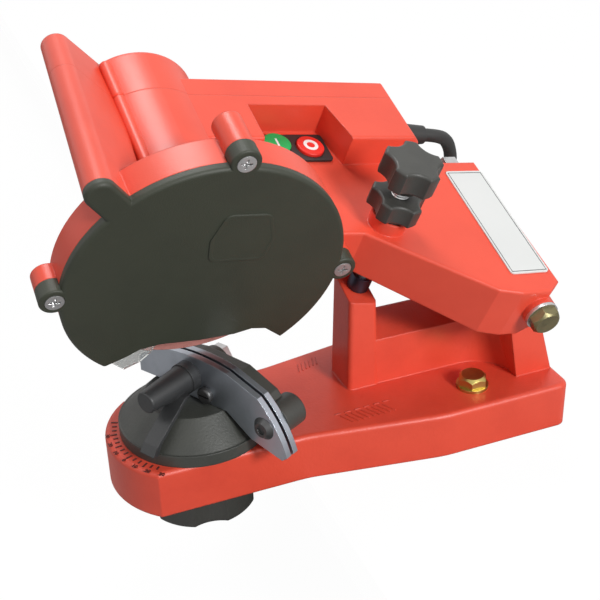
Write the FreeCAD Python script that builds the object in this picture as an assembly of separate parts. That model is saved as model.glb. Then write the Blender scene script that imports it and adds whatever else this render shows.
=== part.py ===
# Electric saw chain sharpener: a bench base with a turning chain vise, and a swinging
# grinder head that comes down on an adjustable depth screw. Millimetres, Z up.
# Origin: midpoint between the two bench bolts, in the plane of the bench top.
# X runs from the vise nose (-X) to the head pivot (+X), Y runs away from the user.
import FreeCAD, Part
import math
import os

V = FreeCAD.Vector
UP = V(0, 0, 1)

# Fits and gaps
RUN_FIT = 0.05
SLIP_FIT = 0.15
GAP = 0.4

# Base casting
BASE_H = 24.0
BASE_WALL = 3.5
BASE_EDGE = 2.5
NOSE_R = 43.0
NOSE_HALF = 33.0
TAIL_HALF = 44.0
TURN_X = -136.0
NECK_X = TURN_X + 45.0
SHOULDER_X = TURN_X + 112.0
REAR_X = TURN_X + 182.0
BOLT_SPAN = 52.0
BOLT_R = 4.0
BOLT_STUD = 9.4
BOLT_BOSS_R = 9.0
BOLT_WASHER_T = 1.6
BOLT_SHANK_R = 3.55
POST_X0 = TURN_X + 77.0
POST_X1 = TURN_X + 95.0
POST_Y0 = -6.0
POST_Y1 = 18.0
POST_DRAFT = 1.6
POST_LOFT_TOP = 96.0
WALL_Y0 = -5.0
WALL_Y1 = 17.0
WALL_TOP = 50.5
WALL_SLOPE = 13.0
FLARE_R = 20.0
BRACKET_X0 = TURN_X + 160.0
BRACKET_X1 = TURN_X + 180.0
BRACKET_Y0 = -28.0
BRACKET_Y1 = 34.0
CORE_WALL = 4.0

# Grinding wheel
WHEEL_R = 54.0
WHEEL_T = 3.2
WHEEL_BORE_R = 11.5

# Chain vise
VISE_TURN = 30.0
RAIL_TOP = 64.5
RAIL_T = 3.0
CHAIN_GAP = 1.6
TABLE_R = 36.0
TABLE_RIM_H = 6.0
DOME_H = 15.0
DOME_TOP_R = 20.0
STUD_R = 4.0
WHEEL_LIFT = 2.4
STUD_DEPTH = 16.0
KNOB_UNDER_R = 28.0
KNOB_UNDER_H = 17.0
FAR_WALL_T = 9.0
FAR_BOSS_R = 8.0
BOSS_X = 47.0
BOSS_Z = 42.0
RAIL_SCREW_R = 3.0
CLAMP_X = 3.0
CLAMP_Z = 54.0
CLAMP_R = 3.0
CLAMP_END = -33.0
COLLAR_T = 5.0
NUT_H = 4.0
LEVER_T = 3.0
LEVER_W = 8.5
LEVER_Y = -34.0
LEVER_Z = 32.0
GUIDE_X = 13.0
GUIDE_Z = 47.0
STOP_X = -20.0
STOP_Z = 49.5
STOP_T = 3.0

# Grinder head, in head coordinates: u runs along the arm to the pivot, a runs along
# the wheel axis away from the user, w is square to both
HEAD_TILT = 21.0
ARM_SLOPE = 11.5
GUARD_R = 62.5
GUARD_DRAWN_R = 62.5
GUARD_WALL = 2.5
COVER_FRONT = -9.5
COVER_BACK = -5.5
COVER_SKIN = 2.0
COVER_EDGE = 1.8
SHELL_BACK = 9.0
SHIELD_AT = (9.0, 12.0)
VISOR_A = -5.0
VISOR_SCREW = (-19.5, -34.5)
SCREW_SHANK_R = 2.0
SCREW_HEAD_R = 4.0
SCREW_LENGTH = 12.0
HOUSING_SCREW = 24.0
LUG_STEP = 2.0
BOSS_RING_R = GUARD_R + LUG_STEP
BOSS_R = 6.5
BOSS_SPLIT = -2.0
BOSS_ENDS = (15.0, 11.0, 6.5)
BOSS_ANGLES = (90.0, 2.0, 186.0)
MOTOR_R = 30.5
MOTOR_WALL = 2.5
PARTING = 83.0
MOTOR_END = 112.0
COLUMN_R = 6.5
COLUMN_FRONT = (-55.0, 49.5)
COLUMN_BACK = (-41.5, 31.0)
ROOT_FRONT = (-36.0, 31.0)
ROOT_BACK = (-18.0, 12.0)
ARM_TOP = 10.5
ARM_WALL = 3.0
ARM_START = 31.0
ARM_FAR = 53.0
ARM_REAR = 168.0
ARM_NEAR = -39.0
ARM_BEND = 79.0
PIVOT_U = 158.0
PIVOT_W = -1.5
PIVOT_R = 4.0
PIVOT_BOSS_R = 8.0
BRACKET_NEAR_A = -24.2
BRACKET_FAR_A = 46.5
PIVOT_PAD = 3.0
BUSH_R = 6.0
PIVOT_WASHER_T = 1.6
CHEEK_LOW = -18.0
LIP_LOW = 5.2
CHEEK_FRONT_LOW = -8.0

# Handle block on the head
HANDLE_TOP = 27.0
HANDLE_LOW = -10.0
HANDLE_LEFT = 14.0
HANDLE_RIGHT = 126.0
HANDLE_BACK = 96.0
HANDLE_WALL = 3.0
GRIP_LEFT = 42.0
GRIP_RIGHT = 83.0
GRIP_SLANT = 6.0
GRIP_SPAN = 23.4
GRIP_DEPTH = ARM_FAR + GRIP_SPAN
PLATE_T = 1.2
BUTTON_R = 0.3 * GRIP_SPAN
BUTTON_TRAVEL = 2.0
GREEN_AT = (57.5, ARM_FAR + 0.535 * GRIP_SPAN)
RED_AT = (74.4, ARM_FAR + 0.436 * GRIP_SPAN)
CORD_A = 70.0
CORD_W = 14.0
CORD_R = 3.5
GLAND_R = 5.0
GLAND_LENGTH = 15.0
GLAND_BORE = 5.0

# Motor and arbor
SHAFT_R = 4.0
BEARING_R = 11.0
BEARING_T = 7.0
REAR_BEARING_R = 9.5
REAR_BEARING_T = 6.0
FLANGE_R = 16.0
FLANGE_T = 2.0
ARBOR_NUT_T = 4.0
FAN_R = 24.0
ROTOR_R = 16.0
AIR_GAP = 0.5
STACK_A0 = 32.0
STACK_A1 = 64.0
COIL_T = 7.0
BRUSH_A0 = 85.0
BRUSH_A1 = 93.0
COMMUTATOR_R = 9.0

# Depth screw
SCREW_U = 93.0
SCREW_A = 10.0
SCREW_R = 4.0
TIP_W = -31.0
TIP_R = 5.5
TIP_H = 9.0
BOSS_TOP = 17.0
LOCK_H = 12.0
KNOB_LOW = 37.0
KNOB_H = 12.0
KNOB_R = 14.0
LOCK_R = 13.0
SCREW_BOSS_R = 9.0
INSERT_R = 6.0

# Cord, coil and plug; the coil lies behind the base
COIL_X = 48.0
COIL_Y = 165.0
COIL_OUTER = 41.5
COIL_INNER = 28.5
COIL_PITCH = 7.5
COIL_LAYERS = 4
COIL_TURNS = 1.625
COIL_START = 180.0
CORD_LEAD = 14.0
CORD_LAND = 22.0
PLUG_LEAD = 12.0
CORD_ROUTE = ((26.9, 55.5, 120.2), (33.3, 63.2, 102.9), (32.5, 76.0, 78.0), (29.5, 92.0, 55.0),
              (22.0, 112.0, 37.0))
PLUG_T = 15.0


def box(x0, x1, y0, y1, z0, z1):
    """A box between two corners."""
    return Part.makeBox(x1 - x0, y1 - y0, z1 - z0, V(x0, y0, z0))


def rod(radius, start, axis, length):
    """A round bar from a point along an axis."""
    return Part.makeCylinder(radius, length, V(*start), V(*axis))


def tube(outer, inner, start, axis, length):
    """A round bar with a bore."""
    return rod(outer, start, axis, length).cut(rod(inner, start, axis, length))


def along(radius, u, w, a0, a1):
    """A round bar of the head, along the wheel axis."""
    return rod(radius, (u, a0, w), (0, 1, 0), a1 - a0)


def sleeve(outer, inner, u, w, a0, a1):
    """A bored round bar of the head, along the wheel axis."""
    return along(outer, u, w, a0, a1).cut(along(inner, u, w, a0, a1))


def polygon(points):
    """A closed wire through points."""
    corners = [V(*p) for p in points]
    return Part.makePolygon(corners + corners[:1])


def prism(points, direction):
    """A flat polygon pushed along a direction."""
    return Part.Face(polygon(points)).extrude(V(*direction))


def slab(points, low, high):
    """A plan outline in X and Y, between two heights."""
    return prism([(x, y, low) for x, y in points], (0, 0, high - low))


def profile(points, a0, a1):
    """A side outline in u and w, between two places along the wheel axis."""
    return prism([(u, a0, w) for u, w in points], (0, a1 - a0, 0))


def fuse(first, *others):
    """Several solids as one, with shared faces merged."""
    return first.multiFuse(list(others)).removeSplitter()


def pick(shape, test):
    """The edges whose middle and direction pass a test."""
    found = []
    for edge in shape.Edges:
        middle = edge.valueAt((edge.FirstParameter + edge.LastParameter) / 2)
        ends = edge.valueAt(edge.LastParameter) - edge.valueAt(edge.FirstParameter)
        if test(middle, ends, edge):
            found.append(edge)
    return found


def hexagon(flats, start, axis, height):
    """A hexagonal bar of a given width across flats."""
    corner = flats / math.sqrt(3)
    points = [V(corner * math.cos(math.radians(60 * i)), corner * math.sin(math.radians(60 * i)), 0)
              for i in range(7)]
    bar = Part.Face(Part.makePolygon(points)).extrude(V(0, 0, height))
    bar.Placement = FreeCAD.Placement(V(*start), FreeCAD.Rotation(UP, V(*axis)))
    return bar


def lobed(radius, lobes, depth, height, start, axis):
    """A hand knob with round hollows between its lobes and softened ends."""
    knob = Part.makeCylinder(radius, height)
    for i in range(lobes):
        turn = math.radians(360 * (i + 0.5) / lobes)
        bite = 0.62 * radius
        reach = radius - depth + bite
        knob = knob.cut(Part.makeCylinder(bite, height, V(reach * math.cos(turn), reach * math.sin(turn), 0)))
    rims = pick(knob, lambda m, d, e: m.z < 0.01 or m.z > height - 0.01)
    knob = knob.makeFillet(0.1 * radius, rims)
    knob.Placement = FreeCAD.Placement(V(*start), FreeCAD.Rotation(UP, V(*axis)))
    return knob


# Places of the three groups of pieces
tilt = math.radians(HEAD_TILT)
WHEEL_Y = -WHEEL_R * math.sin(tilt) - WHEEL_T / 2 * math.cos(tilt)
WHEEL_Z = RAIL_TOP + WHEEL_LIFT + WHEEL_R * math.cos(tilt)
WHEEL_X = TURN_X + 3.0
HEAD_TURN = FreeCAD.Rotation(V(1, 0, 0), HEAD_TILT).multiply(FreeCAD.Rotation(V(0, 1, 0), ARM_SLOPE))
HEAD = FreeCAD.Placement(V(WHEEL_X, WHEEL_Y, WHEEL_Z), HEAD_TURN)
VISE = FreeCAD.Placement(V(TURN_X, 0, 0), FreeCAD.Rotation(UP, VISE_TURN - 90.0))


def on_head(shape):
    """A piece of the head, moved from head coordinates to its real place."""
    moved = shape.copy()
    moved.Placement = HEAD.multiply(moved.Placement)
    return moved


def on_vise(shape):
    """A piece of the vise: x runs along the rails to their near end, y to the far side."""
    moved = shape.copy()
    moved.Placement = VISE.multiply(moved.Placement)
    return moved


def head_point(u, a, w):
    return HEAD.multVec(V(u, a, w))


# Base casting
def base_outline():
    """The plan of the base: a round nose with flats, widening to the tail."""
    nose_x = TURN_X - math.sqrt(NOSE_R ** 2 - NOSE_HALF ** 2)
    near = [V(nose_x, -NOSE_HALF, 0), V(NECK_X, -NOSE_HALF, 0), V(SHOULDER_X, -TAIL_HALF, 0),
            V(REAR_X, -TAIL_HALF, 0)]
    far = [V(p.x, -p.y, 0) for p in reversed(near)]
    path = near + far
    edges = [Part.LineSegment(path[i], path[i + 1]).toShape() for i in range(len(path) - 1)]
    nose = Part.Arc(path[-1], V(TURN_X - NOSE_R, 0, 0), path[0])
    return Part.Wire(edges + [nose.toShape()])


def stop_plane_cutter():
    """Everything above the plane on which the depth screw's tip lands."""
    return on_head(box(-200, 300, -200, 200, TIP_W, TIP_W + 300))


def make_post():
    """The stop post, tapering up to the face under the depth screw."""
    low = polygon([(POST_X0, POST_Y0, 0), (POST_X1, POST_Y0, 0), (POST_X1, POST_Y1, 0), (POST_X0, POST_Y1, 0)])
    x0 = POST_X0 + POST_DRAFT * 2
    x1 = POST_X1 - POST_DRAFT
    y0 = POST_Y0 + POST_DRAFT
    y1 = POST_Y1 - POST_DRAFT
    high = polygon([(x0, y0, POST_LOFT_TOP), (x1, y0, POST_LOFT_TOP), (x1, y1, POST_LOFT_TOP),
                    (x0, y1, POST_LOFT_TOP)])
    post = Part.makeLoft([low, high], True, True)
    upright = pick(post, lambda m, d, e: abs(d.z) > 50)
    return post.makeFillet(2.5, upright).cut(stop_plane_cutter())


def make_wall():
    """The low wall from the post to the bracket, flaring out to the bracket's faces."""
    x_end = BRACKET_X0 + 4
    flare_x = BRACKET_X0 - FLARE_R
    near_y = WALL_Y0 - FLARE_R
    far_y = WALL_Y1 + FLARE_R
    turn = math.sqrt(0.5)
    near_mid = V(flare_x + FLARE_R * turn, near_y + FLARE_R * turn, 0)
    far_mid = V(flare_x + FLARE_R * turn, far_y - FLARE_R * turn, 0)
    start_x = POST_X1 - 6
    edges = [
        Part.LineSegment(V(start_x, WALL_Y0, 0), V(flare_x, WALL_Y0, 0)),
        Part.Arc(V(flare_x, WALL_Y0, 0), near_mid, V(BRACKET_X0, near_y, 0)),
        Part.LineSegment(V(BRACKET_X0, near_y, 0), V(x_end, near_y, 0)),
        Part.LineSegment(V(x_end, near_y, 0), V(x_end, far_y, 0)),
        Part.LineSegment(V(x_end, far_y, 0), V(BRACKET_X0, far_y, 0)),
        Part.Arc(V(BRACKET_X0, far_y, 0), far_mid, V(flare_x, WALL_Y1, 0)),
        Part.LineSegment(V(flare_x, WALL_Y1, 0), V(start_x, WALL_Y1, 0)),
        Part.LineSegment(V(start_x, WALL_Y1, 0), V(start_x, WALL_Y0, 0)),
    ]
    wall = Part.Face(Part.Wire([e.toShape() for e in edges])).extrude(V(0, 0, 90))
    above = box(-300, 300, -200, 200, 0, 200)
    above.Placement = FreeCAD.Placement(V(0, 0, WALL_TOP), FreeCAD.Rotation(V(1, 0, 0), WALL_SLOPE))
    return wall.cut(above).common(box(-300, 300, -200, BRACKET_Y1, 0, 90))


def make_bracket():
    """The pivot bracket: a leaning leg under a round boss on the pivot axis."""
    near = head_point(PIVOT_U, 0, PIVOT_W)
    axis = HEAD_TURN.multVec(V(0, 1, 0))

    def pivot_at(y):
        return near + axis * ((y - near.y) / axis.y)

    sections = []
    for y in (BRACKET_Y0, BRACKET_Y1):
        top = pivot_at(y)
        half = PIVOT_BOSS_R - 1.0
        sections.append(polygon([(BRACKET_X0, y, 0), (BRACKET_X0, y, BASE_H), (top.x - half, y, top.z),
                                 (top.x + half, y, top.z), (BRACKET_X1, y, BASE_H), (BRACKET_X1, y, 0)]))
    leg = Part.makeLoft(sections, True, True)
    boss = on_head(along(PIVOT_BOSS_R, PIVOT_U, PIVOT_W, BRACKET_NEAR_A, BRACKET_FAR_A))
    return leg.fuse(boss)


def make_base():
    """The whole red base: plinth, post, wall and bracket, cored from below."""
    outline = base_outline()
    plinth = Part.Face(outline).extrude(V(0, 0, BASE_H))
    shoulders = pick(plinth, lambda m, d, e: abs(d.z) > 10 and NECK_X - 1 < m.x < SHOULDER_X + 1)
    plinth = plinth.makeFillet(60.0, shoulders)
    corners = pick(plinth, lambda m, d, e: abs(d.z) > 10 and m.x > REAR_X - 1)
    plinth = plinth.makeFillet(6.0, corners)
    rim = pick(plinth, lambda m, d, e: m.z > BASE_H - 0.01)
    plinth = plinth.makeFillet(BASE_EDGE, rim)
    body = fuse(plinth, make_post(), make_wall(), make_bracket())

    floor = Part.Face(outline.makeOffset2D(-BASE_WALL, 2)).extrude(V(0, 0, BASE_H - BASE_WALL))
    posts = [rod(BOLT_BOSS_R, (0, side * BOLT_SPAN / 2, 0), (0, 0, 1), BASE_H) for side in (-1, 1)]
    posts.append(rod(12.0, (TURN_X, 0, 0), (0, 0, 1), BASE_H))
    ribs = [box(x - 1.5, x + 1.5, -TAIL_HALF, TAIL_HALF, 8, BASE_H) for x in (TURN_X + 40, TURN_X + 150)]
    core = floor.cut(posts[0].multiFuse(posts[1:] + ribs))
    body = body.cut(core)
    post_core = box(POST_X0 + 2 * CORE_WALL, POST_X1 - CORE_WALL, POST_Y0 + CORE_WALL + 1.5,
                    POST_Y1 - CORE_WALL - 1.5, 0, 58)
    wall_core = box(POST_X1 + CORE_WALL, BRACKET_X0 - 2 * CORE_WALL, WALL_Y0 + CORE_WALL,
                    WALL_Y1 - CORE_WALL, 0, WALL_TOP - 7)
    leg_core = box(BRACKET_X0 + CORE_WALL + 1, BRACKET_X1 - CORE_WALL - 6, BRACKET_Y0 + CORE_WALL,
                   BRACKET_Y1 - CORE_WALL, 0, 52)
    body = body.cut(post_core.multiFuse([wall_core, leg_core]))
    bores = [rod(BOLT_R + SLIP_FIT, (0, side * BOLT_SPAN / 2, -1), (0, 0, 1), BASE_H + 2) for side in (-1, 1)]
    bores.append(rod(STUD_R + RUN_FIT, (TURN_X, 0, -1), (0, 0, 1), BASE_H + 2))
    bores.append(on_head(along(PIVOT_R + SLIP_FIT, PIVOT_U, PIVOT_W, BRACKET_NEAR_A - 5, BRACKET_FAR_A + 5)))
    return body.cut(bores[0].multiFuse(bores[1:]))


def bench_bolts():
    """Two hexagon bolts through the tail of the base into the bench."""
    washer_t = BOLT_WASHER_T
    bolts = []
    washers = []
    for side in (-1, 1):
        y = side * BOLT_SPAN / 2
        washers.append(tube(8.0, BOLT_R + SLIP_FIT, (0, y, BASE_H), (0, 0, 1), washer_t))
        head = hexagon(13.0, (0, y, BASE_H + washer_t), (0, 0, 1), 5.3)
        crown = Part.makeCone(7.6, 5.6, 2.0, V(0, y, BASE_H + washer_t + 3.3))
        sleeve_low = rod(7.6, (0, y, BASE_H + washer_t), (0, 0, 1), 3.3)
        head = head.common(crown.fuse(sleeve_low))
        shank = rod(BOLT_SHANK_R, (0, y, 0), (0, 0, 1), BASE_H + washer_t)
        stud = rod(BOLT_R, (0, y, -BOLT_STUD), (0, 0, 1), BOLT_STUD)
        bolts.append(head.multiFuse([shank, stud]))
    return Part.makeCompound(bolts), Part.makeCompound(washers)


# Chain vise
RAIL_FACE = CHAIN_GAP / 2
RAIL_BACK = RAIL_FACE + RAIL_T
RIM_TOP = BASE_H + TABLE_RIM_H
SHELF_Z = RIM_TOP + DOME_H - 3.0


def rail_outline(y):
    """The side outline of a rail: a flat back end, a crowned top and a hooked near end."""
    top = RAIL_TOP
    near_x = BOSS_X + 13.0
    corners = [V(-30, y, top - 20), V(-30, y, top - 11), V(-16, y, top - 2.5), V(0, y, top), V(26, y, top - 1.5),
               V(44, y, top - 8), V(54, y, top - 20), V(near_x, y, BASE_H + 7), V(near_x - 3, y, BASE_H + 4.5),
               V(BOSS_X - 8, y, BASE_H + 9), V(25, y, SHELF_Z + GAP), V(0, y, SHELF_Z + GAP),
               V(-4, y, SHELF_Z + 8), V(-14, y, SHELF_Z + 3)]
    crown = Part.Arc(corners[2], corners[3], corners[4]).toShape()
    hook = Part.Arc(corners[5], corners[6], corners[7]).toShape()
    path = [corners[0], corners[1], corners[2]]
    edges = [Part.LineSegment(path[i], path[i + 1]).toShape() for i in range(2)]
    edges += [crown, Part.LineSegment(corners[4], corners[5]).toShape(), hook]
    tail = corners[7:] + corners[:1]
    edges += [Part.LineSegment(tail[i], tail[i + 1]).toShape() for i in range(len(tail) - 1)]
    return Part.Face(Part.Wire(edges))


def make_rail(y):
    """One hardened steel rail with its two screw holes."""
    rail = rail_outline(y).extrude(V(0, RAIL_T, 0))
    rail = rail.cut(rod(CLAMP_R + SLIP_FIT, (CLAMP_X, y - 1, CLAMP_Z), (0, 1, 0), RAIL_T + 2))
    if y < 0:
        rail = rail.cut(rod(2.0, (GUIDE_X, y - 1, GUIDE_Z), (0, 1, 0), RAIL_T + 2))
        return rail.cut(rod(RAIL_SCREW_R, (BOSS_X, y - 1, BOSS_Z), (0, 1, 0), RAIL_T + 2))
    return rail.cut(rod(RAIL_SCREW_R + RUN_FIT, (BOSS_X, y - 1, BOSS_Z), (0, 1, 0), RAIL_T + 2))


def make_turntable():
    """The cast dome with its rim, the far wall behind the rails and the boss at its end."""
    rim = rod(TABLE_R, (0, 0, BASE_H), (0, 0, 1), TABLE_RIM_H)
    dome = Part.makeCone(TABLE_R - 1.0, DOME_TOP_R, DOME_H, V(0, 0, RIM_TOP))
    crest = RAIL_TOP - 4.0
    wall = prism([(-26, RAIL_BACK, RIM_TOP), (-28, RAIL_BACK, crest - 12), (-18, RAIL_BACK, crest - 3),
                  (0, RAIL_BACK, crest), (26, RAIL_BACK, crest - 1), (42, RAIL_BACK, crest - 8),
                  (BOSS_X + 4, RAIL_BACK, BOSS_Z), (BOSS_X, RAIL_BACK, BASE_H + 11), (22, RAIL_BACK, RIM_TOP)],
                 (0, FAR_WALL_T, 0))
    boss = rod(FAR_BOSS_R, (BOSS_X, RAIL_BACK, BOSS_Z), (0, 1, 0), FAR_WALL_T + 4)
    clamp_boss = rod(FAR_BOSS_R, (CLAMP_X, RAIL_BACK, CLAMP_Z - 2), (0, 1, 0), FAR_WALL_T + 3)
    body = fuse(rim, dome, wall, boss, clamp_boss)
    slot = box(-40, 70, -RAIL_BACK, RAIL_BACK, SHELF_Z, RAIL_TOP + 20)
    near_side = box(-60, 60, -60, -RAIL_BACK, SHELF_Z, RAIL_TOP)
    body = body.cut(slot.fuse(near_side))
    under = rod(TABLE_R - 5, (0, 0, BASE_H), (0, 0, 1), 3).cut(rod(12.0, (0, 0, BASE_H), (0, 0, 1), 3))
    stud_hole = rod(STUD_R, (0, 0, BASE_H), (0, 0, 1), STUD_DEPTH)
    clamp_hole = rod(CLAMP_R, (CLAMP_X, -30, CLAMP_Z), (0, 1, 0), 60)
    screw_hole = rod(RAIL_SCREW_R + RUN_FIT, (BOSS_X, 0, BOSS_Z), (0, 1, 0), RAIL_BACK + FAR_WALL_T - 1)
    pin_hole = rod(2.0, (STOP_X, RAIL_BACK + FAR_WALL_T - 5, STOP_Z), (0, 1, 0), 10)
    return body.cut(under.multiFuse([stud_hole, clamp_hole, screw_hole, pin_hole]))


def guide_pin():
    """The round-headed pin riveted to the near rail; it slides in the far rail and boss."""
    head = Part.makeCone(5.6, 3.6, 2.2, V(BOSS_X, -RAIL_BACK, BOSS_Z), V(0, -1, 0))
    shank = rod(RAIL_SCREW_R, (BOSS_X, -RAIL_BACK, BOSS_Z), (0, 1, 0), 2 * RAIL_BACK + FAR_WALL_T - 2)
    drive = hexagon(4.0, (BOSS_X, -RAIL_BACK - 1.2, BOSS_Z), (0, -1, 0), 2)
    return head.fuse(shank).cut(drive)


def guide_screw():
    """The small round-headed screw in the near rail beside the clamp."""
    head = rod(4.2, (GUIDE_X, -RAIL_BACK, GUIDE_Z), (0, -1, 0), 2.6)
    head = head.makeFillet(1.2, pick(head, lambda m, d, e: m.y < -RAIL_BACK - 2.5 and len(e.Vertexes) == 1))
    head = head.cut(box(GUIDE_X - 3.4, GUIDE_X + 3.4, -RAIL_BACK - 3, -RAIL_BACK - 1.6, GUIDE_Z - 0.5, GUIDE_Z + 0.5))
    return head.fuse(rod(2.0, (GUIDE_X, -RAIL_BACK, GUIDE_Z), (0, 1, 0), RAIL_T))


def clamp_parts():
    """The clamp screw with its nut and collar, and the tapered hub with its flat lever."""
    nut_y = RAIL_BACK + FAR_WALL_T + 3.0
    screw = rod(CLAMP_R, (CLAMP_X, CLAMP_END + 2, CLAMP_Z), (0, 1, 0), nut_y + NUT_H - CLAMP_END - 1)
    nut = hexagon(10.0, (CLAMP_X, nut_y, CLAMP_Z), (0, 1, 0), NUT_H)
    nut = nut.cut(rod(CLAMP_R, (CLAMP_X, nut_y, CLAMP_Z), (0, 1, 0), NUT_H))
    collar_y = -RAIL_BACK
    collar = tube(7.5, CLAMP_R + RUN_FIT, (CLAMP_X, collar_y, CLAMP_Z), (0, -1, 0), COLLAR_T)
    hub_y = collar_y - COLLAR_T
    hub = Part.makeCone(7.0, 5.2, hub_y - CLAMP_END, V(CLAMP_X, hub_y, CLAMP_Z), V(0, -1, 0))
    hub = hub.makeFillet(1.0, pick(hub, lambda m, d, e: m.y < CLAMP_END + 0.1 and len(e.Vertexes) == 1))
    x0 = CLAMP_X + 1.0
    flat = profile_x([(hub_y - 5, CLAMP_Z - 2), (hub_y - 5 - LEVER_T, CLAMP_Z - 2),
                      (LEVER_Y - LEVER_T, LEVER_Z + 4), (LEVER_Y - LEVER_T - 3, LEVER_Z),
                      (LEVER_Y - 3, LEVER_Z - 1), (LEVER_Y, LEVER_Z + 4)], x0, x0 + LEVER_W)
    hub = hub.fuse(flat).cut(rod(CLAMP_R, (CLAMP_X, CLAMP_END + 2, CLAMP_Z), (0, 1, 0), 60))
    return screw, nut, collar, hub.removeSplitter()


def profile_x(points, x0, x1):
    """A side outline in y and z, between two places along x."""
    return prism([(x0, y, z) for y, z in points], (x1 - x0, 0, 0))


def stop_parts():
    """The chain stop: a pawl with a tongue over the rails, and the pin behind the wall that it turns on."""
    y0 = RAIL_BACK + FAR_WALL_T
    pin = rod(2.0, (STOP_X, y0 - 5, STOP_Z), (0, 1, 0), 5 + STOP_T + 0.1)
    pin = pin.fuse(rod(3.4, (STOP_X, y0 + STOP_T + 0.1, STOP_Z), (0, 1, 0), 1.6))
    low = RAIL_TOP - 3.5
    arm = prism([(STOP_X - 4, y0, STOP_Z - 4), (STOP_X + 5, y0, STOP_Z - 4), (STOP_X + 5, y0, STOP_Z + 3),
                 (STOP_X, y0, low + 3), (STOP_X - 4, y0, low + 3)], (0, STOP_T, 0))
    tongue = box(STOP_X - 4, STOP_X, -RAIL_FACE, y0 + 0.5, low, low + 3)
    pawl = arm.fuse(tongue).cut(rod(2.0 + RUN_FIT, (STOP_X, 0, STOP_Z), (0, 1, 0), 40)).removeSplitter()
    return pin, pawl


def lock_parts():
    """The stud under the turntable, the washer and the lobed lock knob below the nose."""
    depth = -(KNOB_UNDER_H + 4.0)
    stud = rod(STUD_R, (0, 0, depth), (0, 0, 1), BASE_H + STUD_DEPTH - depth)
    washer = tube(11.0, STUD_R + SLIP_FIT, (0, 0, -1.6), (0, 0, 1), 1.6)
    knob = lobed(KNOB_UNDER_R, 5, 3.0, KNOB_UNDER_H, (0, 0, -1.6 - KNOB_UNDER_H), (0, 0, 1))
    knob = knob.cut(rod(STUD_R + RUN_FIT, (0, 0, depth - 1), (0, 0, 1), 40))
    return stud, washer, knob


# Grinder head shells
def at_angle(radius, angle):
    """A place on a circle about the wheel axis."""
    turn = math.radians(angle)
    return radius * math.cos(turn), radius * math.sin(turn)


def stadium(start, end, radius, a):
    """A closed wire at one place along the wheel axis: two round ends joined by lines."""
    p, q = V(start[0], a, start[1]), V(end[0], a, end[1])
    run = (q - p).normalize()
    side = V(-run.z, 0, run.x) * radius
    tip, root = p - run * radius, q + run * radius
    edges = [Part.LineSegment(p + side, q + side), Part.Arc(q + side, root, q - side),
             Part.LineSegment(q - side, p - side), Part.Arc(p - side, tip, p + side)]
    return Part.Wire([e.toShape() for e in edges])


def column_place(a):
    """Centres of the column's outer end and of its root at one place along the wheel axis."""
    share = (a - COVER_FRONT) / (MOTOR_END - COVER_FRONT)
    outer = [f + (b - f) * share for f, b in zip(COLUMN_FRONT, COLUMN_BACK)]
    root = [f + (b - f) * share for f, b in zip(ROOT_FRONT, ROOT_BACK)]
    return outer, root


def column(a0, a1, radius):
    """The leaning column beside the motor, between two places along the wheel axis."""
    wires = [stadium(*column_place(a), radius, a) for a in (a0, a1)]
    return Part.makeLoft(wires, True, True)


def guard_opening(a0, a1, grow=0.0):
    """The part of the guard cut away below, where the wheel reaches the chain."""
    line = [(-60, -66), (-37, -51), (-27, -45), (-21, -40.5), (-12, -38.3), (6, -37.7), (22, -35.6), (30, -32.8),
            (37, -33.4), (48, -41), (62, -52), (62, -90), (-60, -90)]
    share = GUARD_R / GUARD_DRAWN_R
    return profile([(u * share, w * share + grow) for u, w in line], a0, a1)


def guard_disc(radius, a0, a1, rounding=0.0):
    """The guard's round body with the column's ear, its front rims rounded."""
    members = [along(radius, 0, 0, a0, a1), column(a0, a1, COLUMN_R)]
    if rounding:
        members = [m.makeFillet(rounding, pick(m, lambda p, d, e: p.y < a0 + 0.01)) for m in members]
    body = members[0].fuse(members[1])
    return body.cut(guard_opening(a0 - 1, a1 + 1))


def guard_lugs(radius, a0, ends, rounding=0.0):
    """The three round lugs on the guard's rim, from one place along the wheel axis to their own ends."""
    lugs = []
    for angle, end in zip(BOSS_ANGLES, ends):
        u, w = at_angle(BOSS_RING_R, angle)
        lug = along(radius, u, w, a0, end)
        if rounding:
            lug = lug.makeFillet(rounding, pick(lug, lambda p, d, e: p.y < a0 + 0.01 and len(e.Vertexes) == 1))
        lugs.append(lug)
    return lugs


def guard_cover():
    """The dark front cover: a shallow tray with a rounded rim, three lugs and an embossed frame."""
    cover = guard_disc(GUARD_R, COVER_FRONT, COVER_BACK, COVER_EDGE)
    hollow = along(GUARD_R - GUARD_WALL, 0, 0, COVER_FRONT + COVER_SKIN, COVER_BACK)
    hollow = hollow.cut(guard_opening(COVER_FRONT, COVER_BACK + 1, GUARD_WALL))
    cover = cover.cut(hollow)
    cover = cover.multiFuse(guard_lugs(BOSS_R, COVER_FRONT, [BOSS_SPLIT] * 3, 1.0))
    for angle in BOSS_ANGLES:
        u, w = at_angle(BOSS_RING_R, angle)
        cover = cover.cut(along(SCREW_SHANK_R + SLIP_FIT, u, w, COVER_FRONT - 1, BOSS_SPLIT + 1))
        cover = cover.cut(along(SCREW_HEAD_R + SLIP_FIT, u, w, COVER_FRONT - 1, COVER_FRONT + 2))
    outline = [(-12, 0), (13, 0), (15, 12), (10, 26), (-10, 26), (-14, 12)]
    frame = profile([(u + SHIELD_AT[0], w + SHIELD_AT[1]) for u, w in outline], COVER_FRONT - 0.5, COVER_FRONT)
    frame = frame.makeFillet(4.0, pick(frame, lambda m, d, e: abs(d.y) > 0.3))
    inner = frame.copy()
    centre = frame.BoundBox.Center
    inner.scale(0.9, centre)
    inner.translate(V(0, -0.4, 0))
    return cover.fuse(frame.cut(inner)).removeSplitter()


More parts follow.
